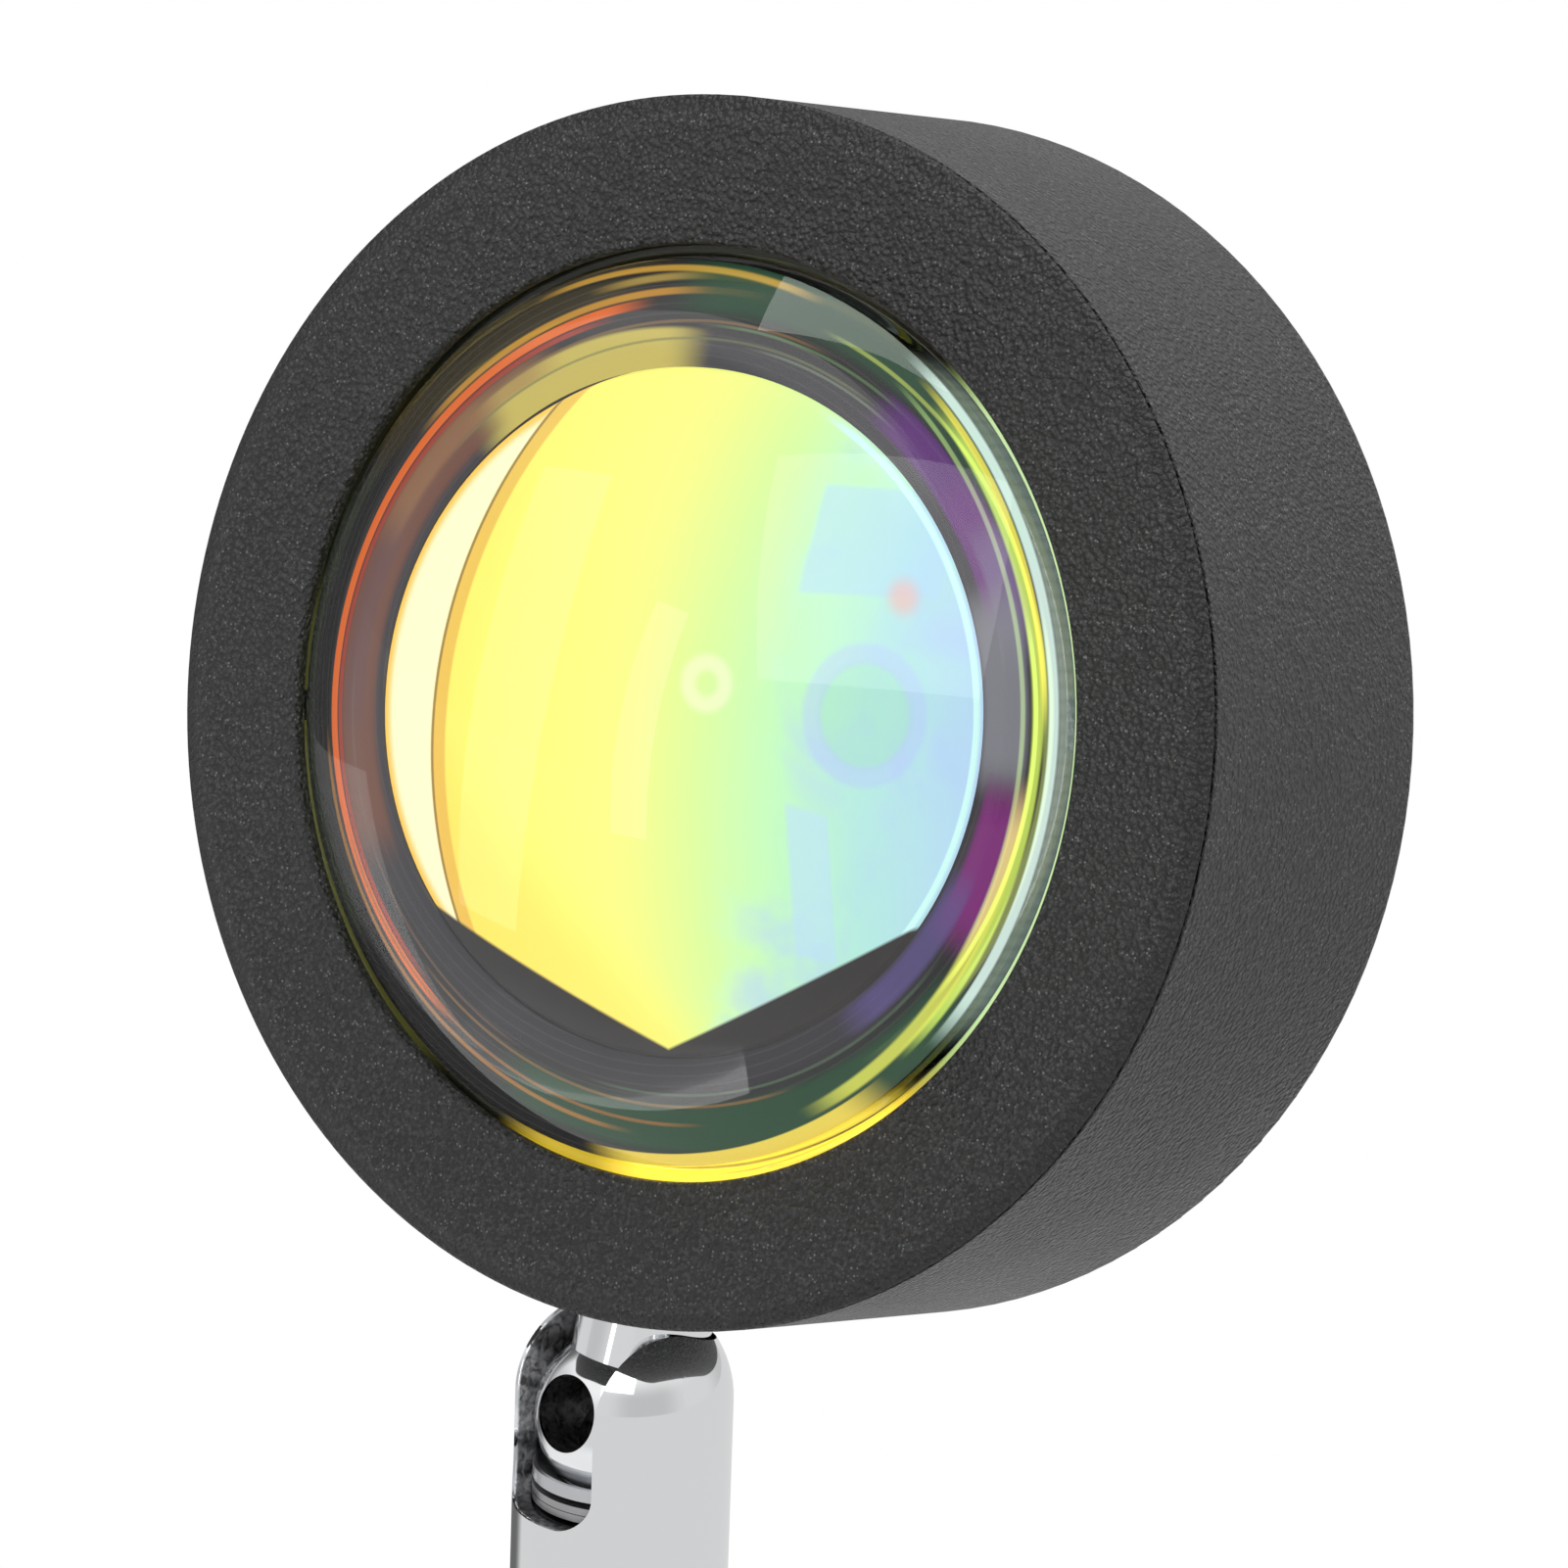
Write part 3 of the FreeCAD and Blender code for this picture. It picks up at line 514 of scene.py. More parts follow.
CARRIER_GLINTS = (
    (180, 30, 22.00, 1.20, 0.80, 0.85, (0.50, 0.28, 0.17)),
    (182, 9, 22.20, 0.60, 0.50, 0.50, (0.38, 0.22, 0.26)),
    (150, 12, 22.60, 0.60, 0.60, 0.60, (0.66, 0.46, 0.26)),
    (178, 50, 23.70, 0.14, 0.10, 0.9, (0.72, 0.20, 0.03)),
    (178, 56, 24.35, 0.28, 0.12, 1.0, (1.00, 0.45, 0.02)),
    (124, 22, 25.10, 0.16, 0.20, 0.9, (0.86, 0.62, 0.16)),
    (96, 18, 26.20, 0.12, 0.30, 0.8, (0.78, 0.66, 0.30)),
    (120, 30, 22.90, 0.05, 0.10, 0.7, (0.56, 0.42, 0.22)),
    (112, 34, 21.70, 0.05, 0.08, 0.6, (0.46, 0.50, 0.30)),
    (72, 30, 25.40, 1.30, 1.20, 0.9, (0.05, 0.30, 0.17)),
    (66, 30, 22.60, 0.05, 0.10, 0.7, (0.40, 0.54, 0.34)),
    (58, 30, 21.40, 0.05, 0.08, 0.6, (0.52, 0.58, 0.50)),
    (46, 30, 24.20, 0.08, 0.12, 0.8, (0.72, 0.80, 0.36)),
    (58, 5, 21.90, 0.90, 0.50, 0.9, (0.40, 0.12, 0.52)),
    (41, 5, 22.10, 1.10, 0.50, 0.9, (0.46, 0.14, 0.54)),
    (34, 3, 22.60, 0.90, 0.50, 0.6, (0.56, 0.50, 0.66)),
    (19, 9, 21.40, 1.20, 0.80, 0.8, (0.60, 0.60, 0.64)),
    (-9, 6, 22.00, 1.20, 0.60, 0.9, (0.55, 0.10, 0.52)),
    (-28, 9, 20.90, 0.60, 0.50, 0.7, (0.40, 0.34, 0.60)),
    (-8, 30, 23.60, 0.10, 0.12, 0.8, (0.80, 0.88, 0.46)),
    (-4, 26, 24.60, 0.20, 0.20, 0.7, (0.66, 0.72, 0.40)),
    (-66, 34, 24.60, 1.20, 1.00, 0.9, (0.06, 0.30, 0.17)),
    (-60, 26, 22.20, 0.05, 0.08, 0.6, (0.34, 0.46, 0.34)),
    (-92, 26, 23.00, 0.05, 0.10, 0.7, (0.60, 0.44, 0.22)),
    (-112, 30, 24.30, 0.06, 0.12, 0.8, (0.66, 0.44, 0.18)),
    (-124, 30, 25.20, 0.10, 0.14, 0.8, (0.76, 0.52, 0.20)),
    (-140, 26, 22.40, 0.05, 0.10, 0.6, (0.48, 0.36, 0.30)),
)

# The coating's tints in a painted reflection of the lit room, from left to right
COATING_REFLECTION_COLOURS = (
    (0.00, (1.00, 0.88, 0.34)), (0.14, (1.00, 0.95, 0.42)), (0.30, (1.00, 0.99, 0.48)),
    (0.42, (0.94, 1.00, 0.52)), (0.53, (0.84, 1.00, 0.60)), (0.65, (0.75, 0.96, 0.72)),
    (0.80, (0.69, 0.90, 0.86)), (1.00, (0.70, 0.84, 0.95)),
)


def coating_reflection(tree, place):
    """The coating's tints in a painted reflection of the lit room: warm at the left, green in the
    middle and cool, in clouds, at the right.
    """
    across, up = place["Across"], place["Up"]
    lean = plus(tree, across, times(tree, up, up, -0.012), times(tree, up, 0.15))
    colour = ramp_node(tree, range_node(tree, lean, -20.0, 20.0), COATING_REFLECTION_COLOURS)
    cloud = noise_node(tree, object_point(tree), 95.0, 3.0, 1.2)
    cloud = range_node(tree, cloud, 0.44, 0.72, 0.0, 0.6, True)
    cool = times(tree, range_node(tree, across, 3.0, 9.0, 0.0, 1.0, True), cloud)
    return paint(tree, colour, cool, (0.70, 0.80, 0.96))


def paint_room(tree, place, colour):
    """Faint shapes of the mirrored room: a pane, a wedge, a disc in a ring, a warm spot and
    a small loop."""
    across, up = place["Across"], place["Up"]
    pane = band_node(tree, plus(tree, up, times(tree, across, -0.25)), 10.4, 3.0, 0.5)
    pane = times(tree, pane, band_node(tree, across, 9.8, 4.3, 0.5))
    colour = paint(tree, colour, pane, (0.68, 0.84, 0.95), 0.55)
    wedge = band_node(tree, plus(tree, across, times(tree, up, 0.35)), 8.0, 1.2, 0.4)
    wedge = times(tree, wedge, band_node(tree, up, -7.2, 3.8, 0.6))
    colour = paint(tree, colour, wedge, (0.72, 0.86, 0.95), 0.6)
    ghost = distance_from(tree, place, 11.4, 3.0)
    inside = range_node(tree, ghost, 2.8, 3.4, 0.45, 0.0, True)
    colour = paint(tree, colour, inside, (0.62, 0.86, 0.76))
    colour = paint(tree, colour, band_node(tree, ghost, 3.5, 0.35, 0.5), (0.70, 0.76, 0.97), 0.42)
    ember = range_node(tree, distance_from(tree, place, 12.0, 10.2), 0.3, 1.6, 0.6, 0.0, True)
    colour = paint(tree, colour, ember, (0.93, 0.68, 0.62))
    loop = band_node(tree, distance_from(tree, place, 1.1, 2.0), 1.15, 0.15, 0.6)
    return paint(tree, colour, loop, (1.0, 1.0, 0.86), 0.45)


def paint_edge_reflections(tree, place, colour):
    """Painted reflections at the disc's edges: a warm lower edge, a pale highlight strip with a
    brown line at the left, a pale highlight on the rim at the right and the two dark edges of a
    mirrored light below."""
    across, up, ring = place["Across"], place["Up"], place["Ring"]
    low = plus(tree, up, times(tree, across, 0.6))
    # Painted warm reflection along the lower edge
    warm = range_node(tree, low, -12.0, -18.0, 0.0, 0.5, True)
    colour = paint(tree, colour, warm, (1.0, 0.86, 0.32))
    # Painted highlight strip at the left, with its hot edge and a brown line
    seam = distance_from(tree, place, 16.4, 1.5)
    strip = range_node(tree, seam, 32.2, 32.45, 0.0, 1.0, True)
    colour = paint(tree, colour, strip, (1.0, 0.98, 0.80))
    hot = times(tree, range_node(tree, ring, 18.8, 19.5, 0.0, 1.0, True), strip)
    colour = paint(tree, colour, hot, (1.0, 0.80, 0.30))
    colour = paint(tree, colour, band_node(tree, seam, 31.8, 0.36, 0.16), (0.90, 0.68, 0.26), 0.7)
    colour = paint(tree, colour, band_node(tree, seam, 32.25, 0.05, 0.08), (0.50, 0.34, 0.16), 0.8)
    # Painted highlight on the rim at the right
    rim = times(tree, band_node(tree, ring, 19.3, 0.12, 0.15), towards(tree, place, 15, 55))
    colour = paint(tree, colour, rim, (0.80, 0.98, 0.96))
    # Painted dark edges of a mirrored light below
    left = plus(tree, up, times(tree, across, 0.25))
    right = plus(tree, times(tree, up, 0.795), times(tree, across, -0.607))
    mirrored_light_edges = math_node(
        tree, "MAXIMUM", range_node(tree, left, -18.0, -17.8, 1.0, 0.0),
        range_node(tree, right, -17.3, -17.1, 1.0, 0.0),
    )
    return paint(tree, colour, mirrored_light_edges, (0.15, 0.14, 0.14))


def filter_material():
    """Coated disc with its tints and a painted reflection of the lit room, which glows by itself.
    """
    _material, tree, shader = new_material("filter_coating")
    place = use_group(tree, "head_place")
    colour = paint_room(tree, place, coating_reflection(tree, place))
    colour = paint_edge_reflections(tree, place, colour)
    # The painted reflection glows
    set_inputs(
        tree, shader, Base_Color=mix_node(tree, 0.75, colour, grey(0.02)), Roughness=0.25,
        Specular_IOR_Level=0.05, Emission_Color=colour, Emission_Strength=0.95,
    )


def carrier_material():
    """Black moulding with glowing painted reflections of the coating's colours round the lens: a
    lighter inner ring, fine rings, a halo, glints and a coloured rim.
    """
    _material, tree, shader = new_material("carrier_black")
    place = use_group(tree, "head_place")
    # Painted reflections: a lighter inner ring and fine rings
    inner = range_node(tree, place["Ring"], 23.0, 21.0, 0.0, 1.0, True)
    colour = paint(tree, screen_colour(0.08, 0.08, 0.09), inner, (0.19, 0.18, 0.21))
    fine = math_node(tree, "SINE", times(tree, distance_from(tree, place, -0.9, 0.7), 9.0))
    colour = paint(tree, colour, range_node(tree, fine, 0.80, 1.0, 0.0, 0.25), (0.42, 0.40, 0.38))
    # Painted yellow halo
    halo = range_node(tree, distance_from(tree, place, -2.2, 2.2), 19.5, 19.9, 0.8, 0.0, True)
    halo = times(tree, halo, towards(tree, place, 126, 14))
    colour = paint(tree, colour, halo, (0.96, 0.88, 0.40))
    colour = paint_glints(tree, place, colour, CARRIER_GLINTS)
    # Painted coloured rim at the lens's edge
    rim = screen_colour(0.05, 0.05, 0.05)
    rim = paint(tree, rim, towards(tree, place, -60, 35), (0.94, 0.80, 0.26))
    rim = paint(tree, rim, towards(tree, place, 12, 45), (0.80, 0.90, 0.62))
    colour = mix_node(tree, range_node(tree, place["Ring"], 28.2, 28.8), colour, rim)
    # The painted reflections glow on the front face only
    front = range_node(tree, place["Depth"], 5.6, 6.0, 1.0, 0.0)
    set_inputs(
        tree, shader, Base_Color=(0.012, 0.012, 0.013, 1.0), Roughness=0.6,
        Specular_IOR_Level=0.02, Emission_Color=mix_node(tree, front, grey(0.0), colour),
        Emission_Strength=0.8,
    )
    grain = use_group(tree, "coat_grain", Size=0.0003)
    bump(tree, shader, grain["Height"], 0.00001)


def make_materials(lamp, colours):
    make_grain_group()
    make_marks_group()
    make_place_group()
    coat_material(
        "head_charcoal_coat", colours.head_coat, lamp.grain_size, 0.38, 0.00034, PARTING_DEPTH
    )
    coat_material("base_black_coat", colours.base_coat, lamp.grain_size * 0.6, 0.5, 0.00005)
    metal_material("chrome_plate", colours.chrome, 0.05)
    seam, dome = BALL_HEIGHT - SEAM_DROP, BALL_HEIGHT + DOME_START
    sawn_chrome_material("swivel_sawn_chrome", colours.chrome, seam, dome, TUBE_R)
    sawn_chrome_material("ball_bored_chrome", colours.chrome, BALL_HEIGHT, BALL_HEIGHT, BALL_R)
    metal_material("zinc_plate", (0.60, 0.61, 0.63, 1.0), 0.28)
    metal_material("turned_steel", (0.50, 0.51, 0.52, 1.0), 0.35)
    metal_material("spring_steel_oiled", (0.42, 0.42, 0.43, 1.0), 0.3)
    metal_material("black_oxide", (0.05, 0.05, 0.055, 1.0), 0.4)
    metal_material("cut_aluminium", (0.70, 0.71, 0.72, 1.0), 0.35)
    moulded_material("rubber_black", (0.025, 0.025, 0.026, 1.0), 0.75)
    moulded_material("sleeve_black_shiny", (0.015, 0.015, 0.015, 1.0), 0.4)
    moulded_material("lead_black", (0.02, 0.02, 0.021, 1.0), 0.4)
    moulded_material("board_white_mask", (0.75, 0.75, 0.72, 1.0), 0.35)
    moulded_material("package_white_body", (0.70, 0.70, 0.66, 1.0), 0.5)
    moulded_material("phosphor_yellow", (0.85, 0.62, 0.03, 1.0), 0.6)
    clear_material("lens_clear", (1.0, 1.0, 1.0, 1.0), 0.0, 1.5, 0.06, DOME_GLINTS)
    clear_material("cap_clear_moulded", (0.97, 0.98, 1.0, 1.0), 0.03, 1.45)
    clear_material("clip_clear_moulded", (0.93, 0.95, 0.62, 1.0), 0.08, 1.45, 0.4, CLIP_GLINTS)
    filter_material()
    carrier_material()


# ---- shaping helpers --------------------------------------------------------------
def turned_mesh(profile, steps, sweep=2 * math.pi, start=0.0):
    """bmesh turned about +Z from closed (radius, depth) points in mm."""
    bm = bmesh.new()
    whole = abs(sweep - 2 * math.pi) < 1e-6
    verts = [bm.verts.new((radius, 0.0, depth)) for radius, depth in profile]
    edges = [bm.edges.new((a, b)) for a, b in zip(verts, verts[1:] + verts[:1])]
    if whole:
        geometry = verts + edges
    else:
        geometry = verts + edges + [bm.faces.new(verts)]
    bmesh.ops.rotate(bm, verts=verts, cent=(0, 0, 0), matrix=Matrix.Rotation(start, 3, "Z"))
    bmesh.ops.spin(
        bm, geom=geometry, cent=(0, 0, 0), axis=(0, 0, 1), angle=sweep,
        steps=steps, use_merge=whole, use_duplicate=False,
    )
    bmesh.ops.remove_doubles(bm, verts=bm.verts, dist=1e-5)
    bmesh.ops.recalc_face_normals(bm, faces=bm.faces)
    return bm


def arc_points(centre, radius, first, last, count):
    """Points on an arc, angles in degrees from the radius direction towards +depth."""
    angles = [math.radians(first + (last - first) * i / count) for i in range(count + 1)]
    return [(centre[0] + radius * math.cos(a), centre[1] + radius * math.sin(a)) for a in angles]


def finish_piece(bm, name, matrix, material, body, replaced, sharp):
    """Puts a shaped piece in its place with its finish, body and slot, for the solids that
    it replaces. Edges sharper than sharp degrees stay crisp."""
    bmesh.ops.transform(bm, matrix=matrix, verts=bm.verts)
    mesh = bpy.data.meshes.new(name)
    bm.to_mesh(mesh)
    bm.free()
    for polygon in mesh.polygons:
        polygon.use_smooth = True
    mesh.set_sharp_from_angle(angle=math.radians(sharp))
    piece = bpy.data.objects.new(name, mesh)
    bpy.context.scene.collection.objects.link(piece)
    mesh.materials.append(bpy.data.materials[material])
    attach(piece, body)
    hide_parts(*replaced)


def coat_node(node, material):
    """Gives a solid that stays as it is its finish."""
    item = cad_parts[node]
    for place in item.material_slots:
        place.material = bpy.data.materials[material]
    if not item.material_slots:
        item.data.materials.append(bpy.data.materials[material])


# ---- studio -----------------------------------------------------------------------
WHITE = grey(1.0)
DARK_SCREEN = grey(0.15)
DIM_ROOM = grey(0.10)


def soft_light(name, place, aim, width, height, power):
    data = bpy.data.lights.new(name, "AREA")
    data.shape = "RECTANGLE"
    data.size = width
    data.size_y = height
    data.energy = power
    light = bpy.data.objects.new(name, data)
    bpy.context.scene.collection.objects.link(light)
    light.location = place
    light.rotation_euler = (aim - Vector(place)).to_track_quat("-Z", "Y").to_euler()


def dark_corner(tree, direction):
    """1 towards the far left of the room, where a dark screen stands for mirrors to show."""
    flat = vector_node(tree, "MULTIPLY", direction, (1.0, 1.0, 0.0))["Vector"]
    unit = vector_node(tree, "NORMALIZE", flat)["Vector"]
    along = vector_node(tree, "DOT_PRODUCT", unit, (-0.84, 0.54, 0.0))["Value"]
    return range_node(tree, along, 0.84, 0.97, 0.0, 1.0, True)


def mirrored_in_glass(tree, path):
    """1 for what the lens mirrors inside itself, which is a dim room and not the backdrop."""
    mirrored = math_node(tree, "GREATER_THAN", path.outputs["Glossy Depth"], 0.5)
    return times(tree, path.outputs["Is Transmission Ray"], mirrored)


def any_ray(tree, path, first, *others):
    """1 for rays of any of these kinds."""
    seen = path.outputs[first]
    for kind in others:
        seen = math_node(tree, "MAXIMUM", seen, path.outputs[kind])
    return seen


def floor_material(colour):
    """Matt near the lamp, where the shadow lies, and plain white further out, where mirrors see it
    painted grey with a dark patch at the far left and the lens sees a dim room mirrored inside
    itself.
    """
    material, tree, shader = new_material("studio_floor_white")
    point = object_point(tree)
    grain = noise_node(tree, point, 40.0, 4.0)
    tint = mix_node(tree, grain, shade(colour, 0.99), colour)
    set_inputs(tree, shader, Base_Color=tint, Roughness=0.8)
    path = tree.nodes.new("ShaderNodeLightPath")
    # Painted reflection: grey with the dark patch for mirrors, and a dim room for the lens inside
    # itself
    mirrored = mix_node(tree, dark_corner(tree, point), grey(0.72), DARK_SCREEN)
    white = mix_node(tree, path.outputs["Is Glossy Ray"], WHITE, mirrored)
    white = mix_node(tree, mirrored_in_glass(tree, path), white, DIM_ROOM)
    glow = add_node(tree, "ShaderNodeEmission", Color=white, Strength=1.0)
    seen = any_ray(tree, path, "Is Camera Ray", "Is Glossy Ray", "Is Transmission Ray")
    distance = vector_node(tree, "LENGTH", point)["Value"]
    far = range_node(tree, distance, 0.20, 0.36, 0.0, 1.0, True)
    mixed = add_node(tree, "ShaderNodeMixShader", Fac=times(tree, seen, far))
    tree.links.new(shader.outputs[0], mixed.inputs[1])
    tree.links.new(glow.outputs[0], mixed.inputs[2])
    tree.links.new(mixed.outputs[0], tree.nodes["Material Output"].inputs["Surface"])
    return material


def make_floor(colour):
    bm = bmesh.new()
    bmesh.ops.create_circle(bm, cap_ends=True, radius=4.0, segments=96)
    mesh = bpy.data.meshes.new("studio_floor")
    bm.to_mesh(mesh)
    bm.free()
    floor = bpy.data.objects.new("studio_floor", mesh)
    bpy.context.scene.collection.objects.link(floor)
    mesh.materials.append(floor_material(colour))


def make_room(ambient):
    """White behind the lamp, and grey with soft bands where metal and glass mirror the room."""
    world = bpy.data.worlds.new("white_room")
    bpy.context.scene.world = world
    world.use_nodes = True
    tree = world.node_tree
    path = tree.nodes.new("ShaderNodeLightPath")
    direction = tree.nodes.new("ShaderNodeTexCoord").outputs["Generated"]
    split = add_node(tree, "ShaderNodeSeparateXYZ", Vector=direction)
    around = math_node(tree, "ARCTAN2", split.outputs["Y"], split.outputs["X"])
    bands = math_node(tree, "SINE", times(tree, around, 3.0))
    bands = range_node(tree, bands, -0.8, 0.8, 0.58, 0.74, True)
    overhead = range_node(tree, split.outputs["Z"], 0.25, 0.7, 0.0, 1.0, True)
    mirrored = mix_node(tree, overhead, bands, WHITE)
    mirrored = mix_node(tree, dark_corner(tree, direction), mirrored, DARK_SCREEN)
    colour = mix_node(tree, path.outputs["Is Diffuse Ray"], mirrored, grey(ambient))
    seen = any_ray(tree, path, "Is Camera Ray", "Is Transmission Ray")
    colour = mix_node(tree, seen, colour, WHITE)
    colour = mix_node(tree, mirrored_in_glass(tree, path), colour, DIM_ROOM)
    set_inputs(tree, tree.nodes["Background"], Color=colour, Strength=1.0)


def make_camera(focal_length):
    data = bpy.data.cameras.new("studio_camera")
    data.lens = focal_length
    data.sensor_width = 36.0
    data.clip_start = 0.01
    camera = bpy.data.objects.new("studio_camera", data)
    bpy.context.scene.collection.objects.link(camera)
    azimuth, elevation, roll = (math.radians(angle) for angle in CAMERA_ANGLES)
    out = math.cos(elevation)
    back = Vector((math.sin(azimuth) * out, -math.cos(azimuth) * out, math.sin(elevation)))
    right = Vector((math.cos(azimuth), math.sin(azimuth), 0.0))
    up = back.cross(right)
    turned_right = right * math.cos(roll) + up * math.sin(roll)
    turned_up = up * math.cos(roll) - right * math.sin(roll)
    axes = Matrix((turned_right, turned_up, back)).transposed()
    place = (BALL + axes @ Vector(CAMERA_PLACE)) * MM
    camera.matrix_world = Matrix.Translation(place) @ axes.to_4x4()
    bpy.context.scene.camera = camera


# ---- operators --------------------------------------------------------------------
class LAMP_OT_finishes(bpy.types.Operator):
    """Makes the shared effects and the materials of every finish"""

    bl_idname = "lamp.finishes"
    bl_label = "Make finishes"

    def execute(self, context):
        make_materials(context.scene.lamp_sizes, context.scene.lamp_colours)
        return {"FINISHED"}


class LAMP_OT_metalwork(bpy.types.Operator):
    """Coats the stand, the swivel, the ball and the inner pieces of the head"""

    bl_idname = "lamp.metalwork"
    bl_label = "Coat the metalwork"

    finishes = {
        "rubber_black": ["foot_pad", "cord_grommet"],
        "base_black_coat": ["base_disc"],
        "zinc_plate": [
            "base_washer", "base_nut", "stem_washer", "stem_nut", "board_screws",
            "pressure_washer",
        ],
        "turned_steel": ["foot_plug", "pivot_spigot"],
        "spring_steel_oiled": ["disc_springs"],
        "black_oxide": ["clamp_screw", "set_screw", "rear_screws"],
        "chrome_plate": ["pole"],
        "ball_bored_chrome": ["ball_stem"],
        "swivel_sawn_chrome": ["swivel_body"],
        "lead_black": ["pole_leads", "head_leads"],
        "sleeve_black_shiny": ["splice_sleeves"],
        "head_charcoal_coat": ["head_shell"],
        "cut_aluminium": ["heat_sink"],
        "board_white_mask": ["led_board"],
        "package_white_body": ["led_package"],
        "phosphor_yellow": ["led_emitter"],
        "cap_clear_moulded": ["led_cap"],
    }

    def execute(self, context):
        for material, nodes in self.finishes.items():
            for node in nodes:
                coat_node(node, material)
        return {"FINISHED"}


class LAMP_OT_front_ring(bpy.types.Operator):
    """Turns the grained front ring with its sloped edge"""

    bl_idname = "lamp.front_ring"
    bl_label = "Turn the front ring"

    def execute(self, context):
        steps = context.scene.lamp_sizes.turn_steps
        profile = arc_points((30.65, 0.35), 0.35, 180, 270, 5)
        profile += [(34.5, 0.0), (37.5, 0.0), (37.9, 0.015), (38.2, 0.06), (38.5, 0.14)]
        profile += [(39.3, 0.43), (39.6, 0.53), (39.8, 0.63), (39.91, 0.74), (39.97, 0.84)]
        profile += [(39.94, 0.96), (39.8, 1.05)]
        profile += [(37.95, 1.05), (37.95, 6.0), (35.95, 6.0), (35.95, 2.4), (31.0, 2.4)]
        profile += [(31.0, 0.9), (30.3, 0.9)]
        bm = turned_mesh(profile, steps)
        finish_piece(bm, "front_ring_coated", HEAD, "head_charcoal_coat", "head",
                     ["front_ring"], 30.0)
        return {"FINISHED"}


class LAMP_OT_lens(bpy.types.Operator):
    """Turns the domed lens, its split ring and the coated disc"""

    bl_idname = "lamp.lens"
    bl_label = "Turn the lens pieces"

    def execute(self, context):
        sizes = context.scene.lamp_sizes
        steps = sizes.turn_steps
        radius, rise = sizes.lens_radius / MM, sizes.lens_rise / MM
        ball = (radius ** 2 + rise ** 2) / (2 * rise)
        centre = LENS_RIM - rise + ball
        edge = math.asin(radius / ball)
        angles = [edge * i / 40 for i in range(40)]
        body = [(ball * math.sin(a), centre - ball * math.cos(a)) for a in angles]
        body += [(radius - 0.05, LENS_RIM - 0.03), (radius, LENS_RIM + 0.12)]
        body += [(radius, 2.4), (29.9, 2.4), (29.9, 5.1), (29.8, 5.2), (0.0, 5.2)]
        finish_piece(turned_mesh(body, steps), "lens_dome", HEAD, "lens_clear", "head",
                     ["lens"], 25.0)

        clip = arc_points((29.85, 1.5), 0.35, 180, 270, 4)
        clip += arc_points((30.5, 1.5), 0.35, 270, 360, 4)
        clip += [(30.85, 2.3), (29.5, 2.3)]
        gap = CLIP_SPLIT / CLIP_MIDDLE_R
        at = math.radians(-CLIP_SPLIT_ANGLE)
        ring = turned_mesh(clip, steps, 2 * math.pi - gap, at + gap / 2)
        finish_piece(ring, "lens_split_ring", HEAD, "clip_clear_moulded", "head",
                     ["lens_clip"], 30.0)

        face = sizes.filter_radius / MM
        disc = [(0.0, 5.25), (face - 0.15, 5.25), (face, 5.4)]
        disc += [(face, 6.3), (face - 0.15, 6.45), (0.0, 6.45)]
        finish_piece(turned_mesh(disc, steps), "coated_filter", HEAD, "filter_coating", "head",
                     ["dichroic_filter"], 30.0)
        return {"FINISHED"}


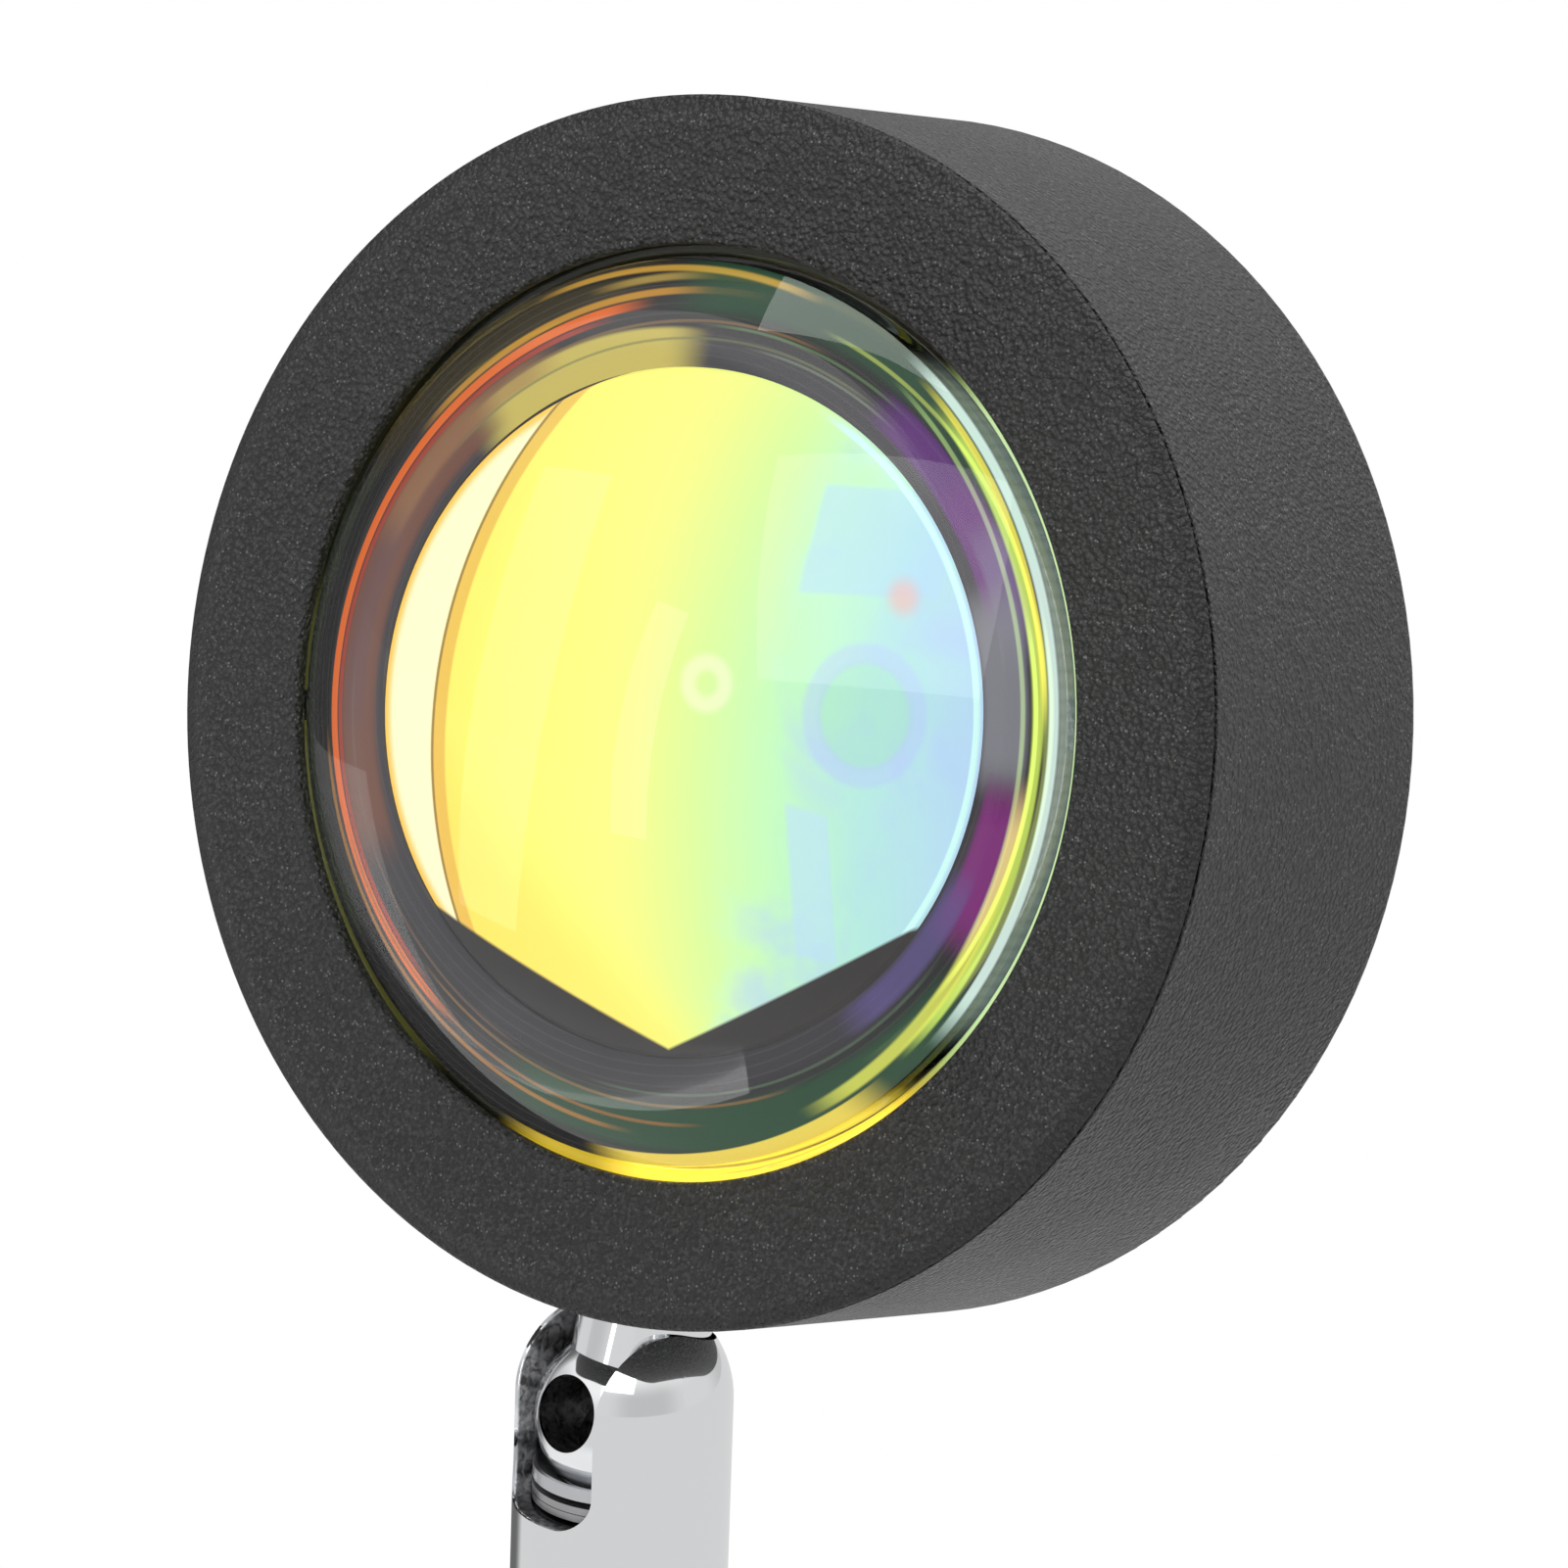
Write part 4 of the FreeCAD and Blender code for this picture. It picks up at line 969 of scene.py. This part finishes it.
class LAMP_OT_carrier(bpy.types.Operator):
    """Turns the black carrier behind the lens"""

    bl_idname = "lamp.carrier"
    bl_label = "Turn the carrier"

    def execute(self, context):
        steps = context.scene.lamp_sizes.turn_steps
        face = context.scene.lamp_sizes.filter_radius / MM
        profile = [(30.1, 2.5), (35.7, 2.5), (35.7, 5.9), (32.1, 5.9), (32.1, 7.6)]
        profile += [(25.5, 8.1), (9.4, 16.0), (9.4, 18.95), (7.8, 18.95), (7.8, 15.0)]
        profile += [(face - 2.0, 7.0), (face - 1.0, 6.5), (face + 0.2, 6.5)]
        profile += [(face + 0.2, 5.25), (30.1, 5.2)]
        finish_piece(turned_mesh(profile, steps), "lens_carrier", HEAD, "carrier_black", "head",
                     ["lens_holder"], 30.0)
        return {"FINISHED"}


class LAMP_OT_studio(bpy.types.Operator):
    """Sets up the floor, the white room, the soft lights and the camera"""

    bl_idname = "lamp.studio"
    bl_label = "Set up the studio"

    def execute(self, context):
        studio = context.scene.lamp_studio
        make_floor(context.scene.lamp_colours.floor)
        make_room(studio.ambient)
        aim = Vector((0.0, 0.0, 0.2))
        soft_light("front_light", (0.29, -0.65, 0.85), aim, 0.75, 0.75, studio.front_power)
        soft_light("strip_light", (-0.32, -0.95, 0.26), aim, 0.13, 0.90, studio.strip_power)
        soft_light("top_light", (0.0, 0.25, 1.0), aim, 0.8, 0.8, studio.top_power)
        make_camera(studio.focal_length)
        context.scene.view_settings.view_transform = "Standard"
        return {"FINISHED"}


class LAMP_PT_panel(bpy.types.Panel):
    """Lists the lamp's operators and settings"""

    bl_idname = "LAMP_PT_panel"
    bl_label = "Projection lamp"
    bl_space_type = "VIEW_3D"
    bl_region_type = "UI"
    bl_category = "Lamp"

    def draw(self, context):
        layout = self.layout
        for group in ("lamp_sizes", "lamp_colours", "lamp_studio"):
            settings = getattr(context.scene, group)
            for name in settings.__annotations__:
                layout.prop(settings, name)
        for operator in OPERATORS:
            layout.operator(operator.bl_idname)


GROUPS = {"lamp_sizes": LampSizes, "lamp_colours": LampColours, "lamp_studio": StudioSettings}
OPERATORS = (
    LAMP_OT_finishes, LAMP_OT_metalwork, LAMP_OT_front_ring, LAMP_OT_lens,
    LAMP_OT_carrier, LAMP_OT_studio,
)
CLASSES = (*GROUPS.values(), *OPERATORS, LAMP_PT_panel)


def register():
    for item in CLASSES:
        bpy.utils.register_class(item)
    for name, group in GROUPS.items():
        setattr(bpy.types.Scene, name, bpy.props.PointerProperty(type=group))


def unregister():
    for name in GROUPS:
        delattr(bpy.types.Scene, name)
    for item in reversed(CLASSES):
        bpy.utils.unregister_class(item)


def main():
    register()
    for operator in OPERATORS:
        category, name = operator.bl_idname.split(".")
        getattr(getattr(bpy.ops, category), name)()


if __name__ == "__main__":
    main()
